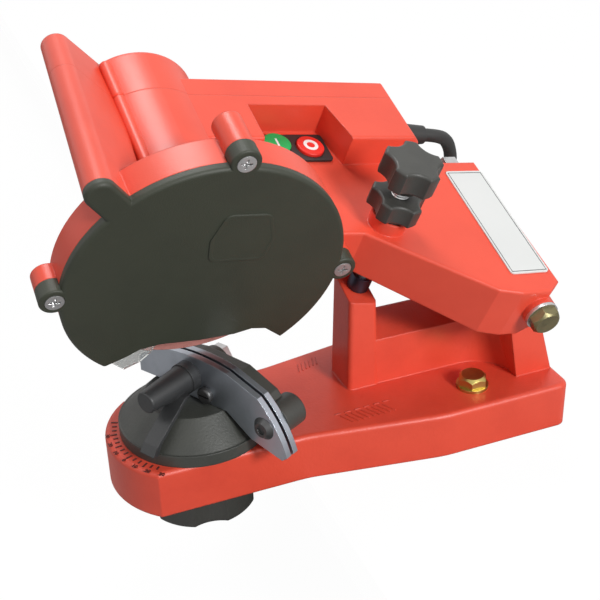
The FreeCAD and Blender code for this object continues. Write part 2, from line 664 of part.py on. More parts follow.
def guard_screws():
    """Three cross-head screws that hold the cover to the head."""
    screws = []
    for angle in BOSS_ANGLES:
        u, w = at_angle(BOSS_RING_R, angle)
        seat = COVER_FRONT + 2
        head = along(SCREW_HEAD_R, u, w, seat - 2.2, seat)
        cross = box(u - 2.4, u + 2.4, seat - 2.3, seat - 1.0, w - 0.5, w + 0.5)
        cross = cross.fuse(box(u - 0.5, u + 0.5, seat - 2.3, seat - 1.0, w - 2.4, w + 2.4))
        shank = along(SCREW_SHANK_R, u, w, seat, seat + SCREW_LENGTH)
        screws.append(head.cut(cross).fuse(shank).removeSplitter())
    return Part.makeCompound(screws)


def arm_plan(inset):
    """The plan of the arm in u and a, moved in by a wall's thickness."""
    points = [(ARM_START, 6.5), (ARM_BEND, 4.5), (PIVOT_U - 26, ARM_NEAR + 3), (PIVOT_U - 14, ARM_NEAR),
              (ARM_REAR - 8, ARM_NEAR), (ARM_REAR, ARM_NEAR + 6), (ARM_REAR - 2, ARM_FAR), (ARM_START, ARM_FAR)]
    wire = polygon([(u, a, 0) for u, a in points])
    if inset:
        wire = wire.makeOffset2D(-inset, 2)
    return wire


def arm_body(inset, low, high):
    """The arm's plan as a solid between two heights."""
    wire = arm_plan(inset)
    wire.translate(V(0, 0, low))
    return Part.Face(wire).extrude(V(0, 0, high - low))


def arm_below(drop):
    """What is cut from under the arm: its lower edge falls to the pivot and rises behind it."""
    back = PIVOT_U + 4
    points = [(ARM_START - 5, CHEEK_FRONT_LOW - drop), (PIVOT_U - 20, CHEEK_LOW - drop), (back - 8, CHEEK_LOW - drop),
              (back, CHEEK_LOW + 6), (ARM_REAR - 3, PIVOT_W - 5), (ARM_REAR + 5, PIVOT_W + 5),
              (ARM_REAR + 5, -60), (ARM_START - 5, -60)]
    return profile(points, ARM_NEAR - 5, ARM_FAR + 0.0)


def handle_block(a0, a1, inset):
    """The handle block between two places along the wheel axis, or its hollow."""
    left = HANDLE_LEFT + inset
    right = HANDLE_RIGHT - inset
    top = HANDLE_TOP - inset
    low = HANDLE_LOW + inset
    corner = 3.0
    points = [(left, low), (right, low), (right, top - corner), (right - corner, top), (left, top)]
    return profile(points, a0, a1)


def grip_recess(grow):
    """The finger recess in the handle block, above the switch plate."""
    floor = ARM_TOP - grow
    points = [(GRIP_LEFT - grow, ARM_FAR - 6), (GRIP_LEFT - grow, GRIP_DEPTH + grow),
              (GRIP_RIGHT + grow, GRIP_DEPTH + grow), (GRIP_RIGHT + GRIP_SLANT + grow, ARM_FAR - 6)]
    return slab(points, floor, HANDLE_TOP + 10)


def head_outer():
    """The outer form of both motor housings, from the guard to the motor's end."""
    disc = along(GUARD_R, 0, 0, COVER_BACK, SHELL_BACK).cut(guard_opening(COVER_BACK - 1, SHELL_BACK + 1))
    notches = guard_lugs(BOSS_R + SLIP_FIT, COVER_BACK - 1, [BOSS_SPLIT] * 3)
    disc = disc.cut(notches[0].multiFuse(notches[1:]))
    motor = along(MOTOR_R, 0, 0, SHELL_BACK - 1, MOTOR_END)
    motor = motor.makeFillet(3.0, pick(motor, lambda m, d, e: m.y > MOTOR_END - 0.1 and len(e.Vertexes) == 1))
    pillar = column(COVER_BACK, MOTOR_END, COLUMN_R)
    arm = arm_body(0, CHEEK_LOW - 5, ARM_TOP)
    ridge = pick(arm, lambda m, d, e: m.z > ARM_TOP - 0.01 and m.x > ARM_START + 1)
    arm = arm.makeFillet(1.5, ridge).cut(arm_below(0))
    handle = handle_block(ARM_FAR - 1, HANDLE_BACK, 0)
    softened = pick(handle, lambda m, d, e: m.z > ARM_TOP and m.x > HANDLE_LEFT + 1)
    handle = handle.makeFillet(1.5, softened)
    screw_boss = rod(SCREW_BOSS_R, (SCREW_U, SCREW_A, ARM_TOP - 14), (0, 0, 1), BOSS_TOP - ARM_TOP + 14)
    return disc, motor, pillar, arm, handle, screw_boss


def head_hollows():
    """The rooms inside the housings: wheel, motor, arm and switch."""
    wheel_room = along(GUARD_R - GUARD_WALL, 0, 0, COVER_BACK - 1, SHELL_BACK - 2.5)
    motor_room = along(MOTOR_R - MOTOR_WALL, 0, 0, SHELL_BACK, MOTOR_END - MOTOR_WALL)
    arm_room = arm_body(ARM_WALL, CHEEK_LOW - 20, ARM_TOP - ARM_WALL)
    switch_room = handle_block(ARM_FAR + 2, HANDLE_BACK - HANDLE_WALL, HANDLE_WALL)
    switch_room = switch_room.cut(grip_recess(HANDLE_WALL).fuse(along(MOTOR_R, 0, 0, 0, MOTOR_END)))
    return wheel_room, motor_room, arm_room, switch_room


def head_bosses():
    """What stands inside the head: bearing seats, pivot bosses and the depth screw's boss."""
    lugs = guard_lugs(BOSS_R, BOSS_SPLIT, BOSS_ENDS)
    front_seat = along(BEARING_R + 3, 0, 0, SHELL_BACK - 2.5, SHELL_BACK + 8)
    rear_seat = along(BEARING_R + 3, 0, 0, MOTOR_END - 11, MOTOR_END - 1)
    near_boss = along(PIVOT_BOSS_R, PIVOT_U, PIVOT_W, ARM_NEAR - PIVOT_PAD, BRACKET_NEAR_A - RUN_FIT)
    far_boss = along(PIVOT_BOSS_R, PIVOT_U, PIVOT_W, BRACKET_FAR_A + RUN_FIT, ARM_FAR + 2)
    boss = rod(SCREW_BOSS_R, (SCREW_U, SCREW_A, ARM_TOP - 14), (0, 0, 1), BOSS_TOP - ARM_TOP + 14)
    return lugs, front_seat, rear_seat, [near_boss, far_boss, boss]


# Both motor housings
def housing_screw_places():
    """Where the screws of the rear housing stand: u, w, the face under the head, and the length."""
    outer, root = column_place(MOTOR_END)
    middle = [(p + q) / 2 for p, q in zip(outer, root)]
    places = [(middle[0], middle[1], MOTOR_END - 3)]
    for u, w in ((HANDLE_RIGHT - 10, HANDLE_TOP - 9), (HANDLE_RIGHT - 10, HANDLE_LOW + 9),
                 (MOTOR_R + 3, HANDLE_TOP - 8)):
        places.append((u, w, HANDLE_BACK - 3))
    return places


def make_head():
    """Both housings as one body, before the parting cut."""
    disc, motor, pillar, arm, handle, screw_boss = head_outer()
    wheel_room, motor_room, arm_room, switch_room = head_hollows()
    lugs, front_seat, rear_seat, bosses = head_bosses()
    under_lip = box(PIVOT_U, ARM_REAR + 5, ARM_NEAR + ARM_WALL, ARM_FAR - ARM_WALL, -60, LIP_LOW)
    arm = arm.cut(arm_room.fuse(under_lip))
    body = disc.multiFuse([motor, pillar, arm, handle.cut(switch_room), screw_boss] + lugs)
    posts = []
    for u, w, face in housing_screw_places()[1:]:
        posts.append(along(4.5, u, w, ARM_FAR + 1, HANDLE_BACK - 1))
    body = body.multiFuse(posts)
    body = body.cut(grip_recess(0))
    body = body.cut(wheel_room)
    body = body.cut(motor_room)
    body = body.multiFuse([front_seat, rear_seat] + bosses)
    bores = [along(BEARING_R, 0, 0, SHELL_BACK, SHELL_BACK + BEARING_T + 2),
             along(SHAFT_R + 5, 0, 0, COVER_BACK, SHELL_BACK + 1),
             along(REAR_BEARING_R, 0, 0, MOTOR_END - 12, MOTOR_END - MOTOR_WALL),
             along(BUSH_R, PIVOT_U, PIVOT_W, ARM_NEAR - PIVOT_PAD - 1, BRACKET_NEAR_A),
             along(BUSH_R, PIVOT_U, PIVOT_W, BRACKET_FAR_A, ARM_FAR + 3),
             rod(INSERT_R, (SCREW_U, SCREW_A, ARM_TOP - 15), (0, 0, 1), BOSS_TOP - ARM_TOP + 16),
             along(GLAND_R, 0, 0, 0, 1)]
    bores[-1] = rod(GLAND_R, (HANDLE_RIGHT - HANDLE_WALL - 1, CORD_A, CORD_W), (1, 0, 0), HANDLE_WALL + 2)
    for u, w, face in housing_screw_places():
        bores.append(along(1.75, u, w, face - HOUSING_SCREW, face + 1))
        bores.append(along(3.5, u, w, face, face + 20))
    for angle in BOSS_ANGLES:
        u, w = at_angle(BOSS_RING_R, angle)
        bores.append(along(SCREW_SHANK_R, u, w, BOSS_SPLIT - 1, COVER_FRONT + 2 + SCREW_LENGTH))
    for u, a in (GREEN_AT, RED_AT):
        bores.append(rod(BUTTON_R + SLIP_FIT, (u, a, 0), (0, 0, 1), HANDLE_TOP))
    for i in range(6):
        vent = box(14, MOTOR_R - 5, MOTOR_END - MOTOR_WALL - 1, MOTOR_END + 1, -1.5, 1.5)
        vent.rotate(V(0, 0, 0), V(0, 1, 0), 60 * i + 30)
        bores.append(vent)
    return body.cut(bores[0].multiFuse(bores[1:]))


def make_housings():
    """The front housing with the guard shell and arm, and the rear housing behind the parting."""
    whole = make_head()
    front = whole.common(box(-120, 220, -80, PARTING, -90, 90))
    rear = whole.common(box(-120, 220, PARTING, 150, -90, 90))
    return front, rear


def housing_screws():
    """The four long screws that hold the rear housing to the front one."""
    screws = []
    for u, w, face in housing_screw_places():
        head = along(3.2, u, w, face, face + 2.4)
        head = head.cut(box(u - 2.2, u + 2.2, face + 1.4, face + 3, w - 0.5, w + 0.5))
        screws.append(head.fuse(along(1.75, u, w, face - HOUSING_SCREW, face)))
    return Part.makeCompound(screws)


# Motor and arbor
def arbor_parts():
    """The motor shaft and all that turns with it."""
    nut_end = -FLANGE_T - 0.5
    shaft = along(SHAFT_R, 0, 0, nut_end - ARBOR_NUT_T - 0.5, MOTOR_END - MOTOR_WALL - 0.5)
    bore = along(SHAFT_R, 0, 0, -20, 130)
    wheel = along(WHEEL_R, 0, 0, 0, WHEEL_T).cut(along(WHEEL_BORE_R, 0, 0, 0, WHEEL_T))
    inner = along(FLANGE_R, 0, 0, WHEEL_T, WHEEL_T + FLANGE_T)
    inner = inner.fuse(along(WHEEL_BORE_R - RUN_FIT, 0, 0, 0.2, WHEEL_T))
    inner = inner.fuse(along(SHAFT_R + 2, 0, 0, WHEEL_T, SHELL_BACK)).cut(bore)
    outer = along(FLANGE_R, 0, 0, nut_end, 0).cut(along(FLANGE_R - 3, 0, 0, -0.5, 0)).cut(bore)
    outer = outer.fuse(sleeve(SHAFT_R + 4, SHAFT_R, 0, 0, -0.5, 0.2))
    nut = hexagon(13.0, (0, nut_end - ARBOR_NUT_T, 0), (0, 1, 0), ARBOR_NUT_T).cut(bore)
    fan = sleeve(8.0, SHAFT_R, 0, 0, 19, 27).fuse(sleeve(FAN_R, 6.0, 0, 0, 19, 20.2))
    blades = []
    for i in range(9):
        blade = box(7.0, FAN_R - 0.5, 20, 25.5, -0.7, 0.7)
        blade.rotate(V(0, 0, 0), V(0, 1, 0), 40 * i)
        blades.append(blade)
    fan = fan.multiFuse(blades).removeSplitter()
    rotor = along(ROTOR_R, 0, 0, STACK_A0, STACK_A1).cut(bore)
    ends = [sleeve(ROTOR_R - 2, SHAFT_R, 0, 0, STACK_A0 - 5, STACK_A0),
            sleeve(ROTOR_R - 2, SHAFT_R, 0, 0, STACK_A1, STACK_A1 + 6)]
    commutator = sleeve(COMMUTATOR_R, SHAFT_R, 0, 0, BRUSH_A0 - 3, BRUSH_A1 + 1)
    return {
        "motor_shaft": shaft,
        "grinding_wheel": wheel,
        "inner_flange": inner.removeSplitter(),
        "outer_flange": outer.removeSplitter(),
        "wheel_nut": nut,
        "fan": fan,
        "rotor_core": rotor,
        "armature_winding": Part.makeCompound(ends),
        "commutator": commutator,
    }


def stator_parts():
    """The motor's fixed pieces: core, field coils, brushes in their holders and both bearings."""
    wall_r = MOTOR_R - MOTOR_WALL
    core = sleeve(wall_r - RUN_FIT, ROTOR_R + AIR_GAP, 0, 0, STACK_A0, STACK_A1)
    coils = [sleeve(wall_r - 2, ROTOR_R + 2, 0, 0, STACK_A0 - COIL_T + 3, STACK_A0),
             sleeve(wall_r - 2, ROTOR_R + 2, 0, 0, STACK_A1, STACK_A1 + COIL_T)]
    inside = along(wall_r - RUN_FIT, 0, 0, BRUSH_A0 - 5, BRUSH_A1 + 5)
    track = along(COMMUTATOR_R + RUN_FIT, 0, 0, BRUSH_A0 - 5, BRUSH_A1 + 5)
    holders = []
    brushes = []
    for side in (-1, 1):
        case = box(12, MOTOR_R, BRUSH_A0 - 1, BRUSH_A1 + 1, -5, 5)
        case = case.cut(box(11, MOTOR_R, BRUSH_A0, BRUSH_A1, -3.5, 3.5)).common(inside)
        brush = box(COMMUTATOR_R - 3, 20, BRUSH_A0, BRUSH_A1, -3.5, 3.5).cut(track)
        if side < 0:
            case.rotate(V(0, 0, 0), V(0, 1, 0), 180)
            brush.rotate(V(0, 0, 0), V(0, 1, 0), 180)
        holders.append(case)
        brushes.append(brush)
    front = sleeve(BEARING_R, SHAFT_R, 0, 0, SHELL_BACK, SHELL_BACK + BEARING_T)
    rear_end = MOTOR_END - MOTOR_WALL
    rear = sleeve(REAR_BEARING_R, SHAFT_R, 0, 0, rear_end - REAR_BEARING_T, rear_end)
    groove = sleeve(8.5, 6.5, 0, 0, SHELL_BACK + BEARING_T - 0.5, SHELL_BACK + BEARING_T)
    return {
        "stator_core": core,
        "field_coils": Part.makeCompound(coils),
        "brush_holders": Part.makeCompound(holders),
        "brushes": Part.makeCompound(brushes),
        "motor_bearings": Part.makeCompound([front.cut(groove), rear]),
    }


# Switch, label and visor
def button(place, mark):
    """A push button: a cap with a raised ring, its stem, and the sign cut in its top."""
    u, a = place
    low = ARM_TOP - 0.9
    top = ARM_TOP + PLATE_T + 1.6
    cap = rod(BUTTON_R, (u, a, low), (0, 0, 1), top - low)
    cap = cap.makeFillet(0.7, pick(cap, lambda m, d, e: m.z > top - 0.01))
    stem = rod(2.5, (u, a, low - 3.6), (0, 0, 1), 3.6)
    if mark == "I":
        sign = box(u - 0.6, u + 0.6, a - 2.8, a + 2.8, top - 0.4, top + 1)
    else:
        sign = tube(3.3, 2.2, (u, a, top - 0.4), (0, 0, 1), 1.4)
    return cap.fuse(stem).cut(sign)


def switch_parts():
    """The plate with the two buttons, the switch body below it, and a suppressor capacitor."""
    u0, u1 = GRIP_LEFT + 6, GRIP_RIGHT + 1
    a0, a1 = ARM_FAR + 1, GRIP_DEPTH - 3.4
    plate = box(u0, u1, a0, a1, ARM_TOP, ARM_TOP + PLATE_T)
    plate = plate.makeFillet(2.0, pick(plate, lambda m, d, e: abs(d.z) > 0.5))
    floor = ARM_TOP - HANDLE_WALL
    body = box(u0 + 3, u1 - 3, ARM_FAR + 4, a1 - 1, HANDLE_LOW + HANDLE_WALL, floor)
    for u, a in (GREEN_AT, RED_AT):
        plate = plate.cut(rod(BUTTON_R + SLIP_FIT, (u, a, ARM_TOP - 1), (0, 0, 1), PLATE_T + 2))
        body = body.cut(rod(3.0, (u, a, floor - 5), (0, 0, 1), 6))
    capacitor = box(u1 + 8, u1 + 24, ARM_FAR + 4, ARM_FAR + 18, HANDLE_LOW + HANDLE_WALL,
                    HANDLE_LOW + HANDLE_WALL + 8)
    return {"switch_plate": plate, "switch_body": body, "capacitor": capacitor,
            "green_button": button(GREEN_AT, "I"), "red_button": button(RED_AT, "O")}


def label_plate():
    """The bare rating plate on the arm."""
    plate = box(ARM_REAR - 24.6, ARM_REAR - 2.5, -27, 45, ARM_TOP, ARM_TOP + 0.6)
    return plate.makeFillet(2.0, pick(plate, lambda m, d, e: abs(d.z) > 0.3))


def visor():
    """The clear flap that hangs below the cover, and the small screw that holds it."""
    outline = [(-32.5, -52.5), (-27, -44), (-27, -30), (-12, -30), (-11.3, -41.3), (-13.3, -48.8),
               (-17.1, -54.7), (-23.8, -59.1)]
    share = GUARD_R / GUARD_DRAWN_R
    flap = profile([(u * share, w * share) for u, w in outline], VISOR_A, VISOR_A + 1.5)
    flap = flap.cut(along(1.5 + SLIP_FIT, *VISOR_SCREW, VISOR_A - 1, VISOR_A + 3))
    screw = along(3.0, *VISOR_SCREW, VISOR_A + 1.5, VISOR_A + 2.7)
    screw = screw.fuse(along(1.5, *VISOR_SCREW, COVER_FRONT + COVER_SKIN, VISOR_A + 1.5))
    return flap, screw


# Pivot of the head
def pivot_parts():
    """The pivot bolt with its washers, the lock nut, and the bushes in the arm."""
    near = ARM_NEAR - PIVOT_PAD
    far = ARM_FAR + 2
    head_a = near - PIVOT_WASHER_T
    nut_a = far + PIVOT_WASHER_T
    bolt = hexagon(13.0, (PIVOT_U, head_a - 5.3, PIVOT_W), (0, 1, 0), 5.3)
    crown = Part.makeCone(5.8, 7.6, 2.0, V(PIVOT_U, head_a - 5.3, PIVOT_W), V(0, 1, 0))
    bolt = bolt.common(crown.fuse(along(7.6, PIVOT_U, PIVOT_W, head_a - 3.3, head_a)))
    bolt = bolt.fuse(along(PIVOT_R, PIVOT_U, PIVOT_W, head_a, nut_a + 8.0))
    nut = hexagon(13.0, (PIVOT_U, nut_a, PIVOT_W), (0, 1, 0), 6.5)
    nut = nut.cut(along(PIVOT_R, PIVOT_U, PIVOT_W, nut_a, nut_a + 6.5))
    washers = [sleeve(8.0, PIVOT_R + RUN_FIT, PIVOT_U, PIVOT_W, head_a, near),
               sleeve(8.0, PIVOT_R + RUN_FIT, PIVOT_U, PIVOT_W, far, nut_a)]
    bushes = [sleeve(BUSH_R, PIVOT_R + RUN_FIT, PIVOT_U, PIVOT_W, near, BRACKET_NEAR_A - RUN_FIT),
              sleeve(BUSH_R, PIVOT_R + RUN_FIT, PIVOT_U, PIVOT_W, BRACKET_FAR_A + RUN_FIT, far)]
    return {"pivot_bolt": bolt, "pivot_nut": nut, "pivot_washers": Part.makeCompound(washers),
            "pivot_bushes": Part.makeCompound(bushes)}


# Depth screw
def depth_parts():
    """The depth screw with its knob, the tip that lands on the post, the lock nut and the insert."""
    def upright(radius, low, high):
        return rod(radius, (SCREW_U, SCREW_A, low), (0, 0, 1), high - low)

    tip_top = TIP_W + TIP_H
    tip = upright(TIP_R, TIP_W, tip_top)
    tip = tip.makeFillet(1.0, pick(tip, lambda m, d, e: len(e.Vertexes) == 1 and m.z < TIP_W + 0.1))
    tip = tip.cut(upright(SCREW_R + RUN_FIT, TIP_W + 3, tip_top + 1))
    knob_top = KNOB_LOW + KNOB_H
    screw = upright(SCREW_R, TIP_W + 3, knob_top - 4)
    knob = lobed(KNOB_R, 5, 3.2, KNOB_H, (SCREW_U, SCREW_A, KNOB_LOW), (0, 0, 1))
    neck = Part.makeCone(6.5, 8.5, 4.0, V(SCREW_U, SCREW_A, KNOB_LOW - 4.0))
    knob = knob.fuse(neck).cut(upright(SCREW_R, KNOB_LOW - 5, knob_top - 4))
    lock = lobed(LOCK_R, 5, 3.0, LOCK_H - 2, (SCREW_U, SCREW_A, BOSS_TOP + 2), (0, 0, 1))
    lock = lock.fuse(upright(8.0, BOSS_TOP, BOSS_TOP + 2)).cut(upright(SCREW_R + RUN_FIT, 0, 60))
    insert = upright(INSERT_R, ARM_TOP - 14, BOSS_TOP).cut(upright(SCREW_R + RUN_FIT, -20, 60))
    return {"depth_screw": screw, "depth_knob": knob.removeSplitter(), "tip_cap": tip,
            "lock_nut_knob": lock.removeSplitter(), "screw_insert": insert}


# Cord, coil and plug
def arc_from(start, tangent, end):
    """The arc that leaves a point along a tangent and ends at another point."""
    chord = end - start
    length = chord.Length
    chord.normalize()
    cosine = min(1.0, tangent.dot(chord))
    half = math.acos(cosine) / 2
    bulge = tangent - chord * cosine
    if bulge.Length < 1e-9:
        return Part.LineSegment(start, end).toShape()
    bulge.normalize()
    middle = (start + end) * 0.5 + bulge * (length / 2 * math.tan(half))
    return Part.Arc(start, middle, end).toShape()


def biarc(p0, t0, p1, t1):
    """Two arcs with one tangent where they meet, from one place and heading to another."""
    span = p1 - p0
    both = t0 + t1
    share = 2 * (1 - t0.dot(t1))
    lead = span.dot(both)
    if share < 1e-9:
        reach = span.dot(span) / (2 * lead)
    else:
        reach = (-lead + math.sqrt(lead * lead + share * span.dot(span))) / share
    meet = (p0 + t0 * reach + p1 - t1 * reach) * 0.5
    turn = (p1 - t1 * reach) - (p0 + t0 * reach)
    turn.normalize()
    return [arc_from(p0, t0, meet), arc_from(meet, turn, p1)]


def coil_place(turns):
    """A place on the coil after some turns: in and out at a steady rate, layer below layer."""
    layer = min(int(turns / COIL_TURNS), COIL_LAYERS - 1)
    share = turns / COIL_TURNS - layer
    if layer % 2:
        share = 1 - share
    radius = COIL_OUTER + (COIL_INNER - COIL_OUTER) * share
    drop = 0.0
    for k in range(1, COIL_LAYERS):
        begun = (turns - k * COIL_TURNS) / 0.5 + 0.5
        drop += COIL_PITCH * smooth(begun)
    angle = math.radians(COIL_START) - 2 * math.pi * turns
    top = CORD_R + COIL_PITCH * (COIL_LAYERS - 1)
    return V(COIL_X + radius * math.cos(angle), COIL_Y + radius * math.sin(angle), top - drop)


def smooth(share):
    """A climb from 0 to 1 that starts and ends level."""
    share = min(1.0, max(0.0, share))
    return share * share * (3 - 2 * share)


def coil_heading(turns):
    """The direction of the coil's tube at a place."""
    step = 1e-4
    ahead = coil_place(turns + step) - coil_place(turns - step)
    return ahead.normalize()


def cord_tube(edges):
    """A round tube along a path of joined edges."""
    path = Part.Wire(edges)
    start = edges[0]
    heading = start.tangentAt(start.FirstParameter)
    ring = Part.Wire(Part.makeCircle(CORD_R, start.valueAt(start.FirstParameter), heading))
    return path.makePipeShell([ring], True, False)


def rounded_route(points, radius_rule=0.45):
    """Straight runs joined by arcs that are as large as their runs allow; prints the radii."""
    edges = []
    last = points[0]
    radii = []
    for i in range(1, len(points) - 1):
        back = points[i - 1] - points[i]
        ahead = points[i + 1] - points[i]
        reach = radius_rule * min(back.Length, ahead.Length)
        turn = math.pi - back.getAngle(ahead)
        radii.append(reach / math.tan(turn / 2))
        begin = points[i] + back.normalize() * reach
        end = points[i] + ahead.normalize() * reach
        edges.append(Part.LineSegment(last, begin).toShape())
        edges.append(arc_from(begin, back * -1, end))
        last = end
    edges.append(Part.LineSegment(last, points[-1]).toShape())
    print("cord radii", [round(r, 1) for r in radii])
    return edges


def cord_parts():
    """The free cord from the gland down to the coil, the coil behind the base, and the plug."""
    gland = rod(GLAND_R, (HANDLE_RIGHT - HANDLE_WALL, CORD_A, CORD_W), (1, 0, 0), HANDLE_WALL)
    flange = rod(GLAND_R + 2, (HANDLE_RIGHT - HANDLE_WALL - 2, CORD_A, CORD_W), (1, 0, 0), 2)
    boot = Part.makeCone(GLAND_R + 1, CORD_R + 1.2, GLAND_LENGTH, V(HANDLE_RIGHT, CORD_A, CORD_W), V(1, 0, 0))
    start = HANDLE_RIGHT + GLAND_LENGTH - GLAND_BORE
    boot = boot.cut(rod(CORD_R, (start, CORD_A, CORD_W), (1, 0, 0), GLAND_BORE))
    gland = on_head(gland.multiFuse([flange, boot]).removeSplitter())

    leave = head_point(start, CORD_A, CORD_W)
    heading = HEAD_TURN.multVec(V(1, 0, 0))
    steps = int(round(4 * COIL_TURNS * COIL_LAYERS))
    places = [coil_place(i / 4) for i in range(steps + 1)]
    headings = [coil_heading(i / 4) for i in range(steps + 1)]
    headings[0].z = 0
    headings[0].normalize()
    headings[-1].z = 0
    headings[-1].normalize()
    lead_in = places[0] - headings[0] * (2 * CORD_R)
    lead_out = places[-1] + headings[-1] * PLUG_LEAD
    edges = [Part.LineSegment(lead_in, places[0]).toShape()]
    for i in range(steps):
        edges += biarc(places[i], headings[i], places[i + 1], headings[i + 1])
    edges.append(Part.LineSegment(places[-1], lead_out).toShape())
    coil = cord_tube(edges)
    samples = []
    for edge in edges:
        count = max(2, int(edge.Length / 2))
        samples += edge.discretize(count)
    print("coil length", round(sum(e.Length for e in edges)), "least gap", round(least_gap(samples), 2))

    route = [leave, leave + heading * CORD_LEAD] + [V(*p) for p in CORD_ROUTE]
    route += [lead_in - headings[0] * CORD_LAND, lead_in]
    free_edges = rounded_route(route)
    cord = cord_tube(free_edges)
    run = sum(e.Length for e in free_edges)
    print("cord length", round(run), "volume ratio", round(cord.Volume / (math.pi * CORD_R ** 2 * run), 4))
    plug = make_plug(lead_out, headings[-1])
    return gland, cord, coil, plug


def least_gap(samples):
    """The least gap between the coil's turns, from points at least a third of a turn apart."""
    apart = int(2 * math.pi * COIL_INNER / 3 / 2)
    least = 1e9
    for i, p in enumerate(samples):
        for q in samples[i + apart:]:
            least = min(least, (p - q).Length)
    return least - 2 * CORD_R


def make_plug(start, heading):
    """A flat two-pin plug that lies on the bench at the cord's end."""
    boot = Part.makeCone(CORD_R + 0.8, 6.0, 14, V(0, 0, 0), V(1, 0, 0))
    boot = boot.common(box(-1, 40, -20, 20, -CORD_R, 20))
    outline = [V(12, -6, 0), V(24, -11, 0), V(40, -13, 0), V(48, -13, 0), V(48, 13, 0), V(40, 13, 0),
               V(24, 11, 0), V(12, 6, 0)]
    body = Part.Face(Part.makePolygon(outline + outline[:1])).extrude(V(0, 0, PLUG_T))
    body = body.makeFillet(2.0, pick(body, lambda m, d, e: abs(d.z) < 0.5))
    body.translate(V(0, 0, -CORD_R))
    pins = [rod(2.0, (47, side * 9.5, PLUG_T / 2 - CORD_R), (1, 0, 0), 20) for side in (-1, 1)]
    plug = boot.multiFuse([body] + pins).removeSplitter()
    angle = math.degrees(math.atan2(heading.y, heading.x))
    plug.Placement = FreeCAD.Placement(start, FreeCAD.Rotation(UP, angle))
    return plug


# Every piece, by name
def build():
    pieces = {"base": make_base()}
    pieces["bench_bolts"], pieces["bench_washers"] = bench_bolts()
    screw, nut, collar, lever = clamp_parts()
    pin, pawl = stop_parts()
    stud, washer, knob = lock_parts()
    vise = {
        "turntable": make_turntable(),
        "near_rail": make_rail(-RAIL_BACK),
        "far_rail": make_rail(RAIL_FACE),
        "guide_pin": guide_pin(),
        "guide_screw": guide_screw(),
        "clamp_screw": screw,
        "clamp_nut": nut,
        "clamp_collar": collar,
        "clamp_lever": lever,
        "stop_pin": pin,
        "stop_pawl": pawl,
        "turntable_stud": stud,
        "knob_washer": washer,
        "lock_knob": knob,
    }
    for name, shape in vise.items():
        pieces[name] = on_vise(shape)
    front, rear = make_housings()
    flap, flap_screw = visor()
    head = {
        "front_housing": front,
        "rear_housing": rear,
        "guard_cover": guard_cover(),
        "guard_screws": guard_screws(),
        "housing_screws": housing_screws(),
        "visor": flap,
        "visor_screw": flap_screw,
        "label_plate": label_plate(),
    }
    for group in (arbor_parts(), stator_parts(), switch_parts(), pivot_parts(), depth_parts()):
        head.update(group)
    for name, shape in head.items():
        pieces[name] = on_head(shape)
    pieces["strain_relief"], pieces["power_cord"], pieces["cord_coil"], pieces["plug"] = cord_parts()
    return pieces


os.makedirs("parts", exist_ok=True)
for name, shape in build().items():
    solids = len(shape.Solids)
    print(name, "solids", solids, "volume", round(shape.Volume), "valid", shape.isValid())
    shape.exportStep("parts/" + name + ".step")
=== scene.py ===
"""Electric saw chain sharpener on a pale floor: finishes, lights, camera, cord and cast details."""

import math

import bmesh
import bpy
from mathutils import Euler, Matrix, Vector


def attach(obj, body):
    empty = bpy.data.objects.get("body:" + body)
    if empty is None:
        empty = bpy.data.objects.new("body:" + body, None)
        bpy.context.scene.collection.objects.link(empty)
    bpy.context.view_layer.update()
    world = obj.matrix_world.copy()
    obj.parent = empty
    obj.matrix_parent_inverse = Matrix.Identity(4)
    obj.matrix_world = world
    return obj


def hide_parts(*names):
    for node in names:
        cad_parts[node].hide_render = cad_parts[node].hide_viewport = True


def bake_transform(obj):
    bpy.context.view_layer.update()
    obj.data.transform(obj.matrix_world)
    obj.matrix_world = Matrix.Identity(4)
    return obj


MM = 0.001

# Places of the grinder head and the vise, as in the solids
HEAD_TILT = math.radians(21.0)
ARM_SLOPE = math.radians(11.5)
TURN_X = -136.0
WHEEL_R = 54.0
WHEEL_T = 3.2
WHEEL_CENTRE = Vector((TURN_X + 3.0,
                       -WHEEL_R * math.sin(HEAD_TILT) - WHEEL_T / 2 * math.cos(HEAD_TILT),
                       66.9 + WHEEL_R * math.cos(HEAD_TILT)))
BASE_H = 24.0

# Cord
CORD_R = 3.5
COIL_CENTRE = (48.0, 165.0)
COIL_OUTER = 41.5
COIL_INNER = 28.5
COIL_PITCH = 7.5
COIL_LAYERS = 4
COIL_TURNS = 1.625
COIL_START = math.radians(180.0)
COIL_POINTS = 12
CORD_EXIT = (136.0, 70.0, 14.0)
CORD_LEAD = 14.0
CORD_LAND = 22.0
PLUG_LEAD = 12.0
CORD_ROUTE = ((26.9, 55.5, 120.2), (33.3, 63.2, 102.9), (32.5, 76.0, 78.0), (29.5, 92.0, 55.0),
              (22.0, 112.0, 37.0))

# Marks
NOSE_HALF = 33.0
SCALE_MIDDLE = 202.0
SCALE_R = 37.3
SCALE_STEP = 5
NUMBER_STEP = 10
NUMBER_OUT = 4.6
NUMBER_SIZE = 3.0
RIB_ROWS = (((-71.0, -22.0), (-45.0, -21.0), 6, 3.4, 0.0), ((-68.5, -27.5), (-46.0, -26.5), 9, 8.0, -62.0),
            ((-73.0, 24.0), (-62.0, 27.5), 6, 7.0, 75.0))
GREEN_AT = (57.5, 65.52)
RED_AT = (74.4, 63.2)
SIGN_TOP = 12.98
SIGN_T = 0.35
RING_OUTER = 3.75
RING_INNER = 2.05
RIB_ANGLE = 127.0
RIB_REACH = 30.2
RIB_R = 2.8
RIB_SPANS = (("front_rib", 8.6, 82.9), ("rear_rib", 83.1, 108.0))
LABEL_EDGE = (144.6, 164.3, -25.6, 43.6)
LABEL_TOP = 11.1
LABEL_LINE = 0.35
THREAD_AT = (93.0, 10.0)
THREAD_R = 4.0
THREAD_LOW = 28.5
THREAD_HIGH = 33.5
THREAD_PITCH = 1.25
THREAD_STEPS = 20

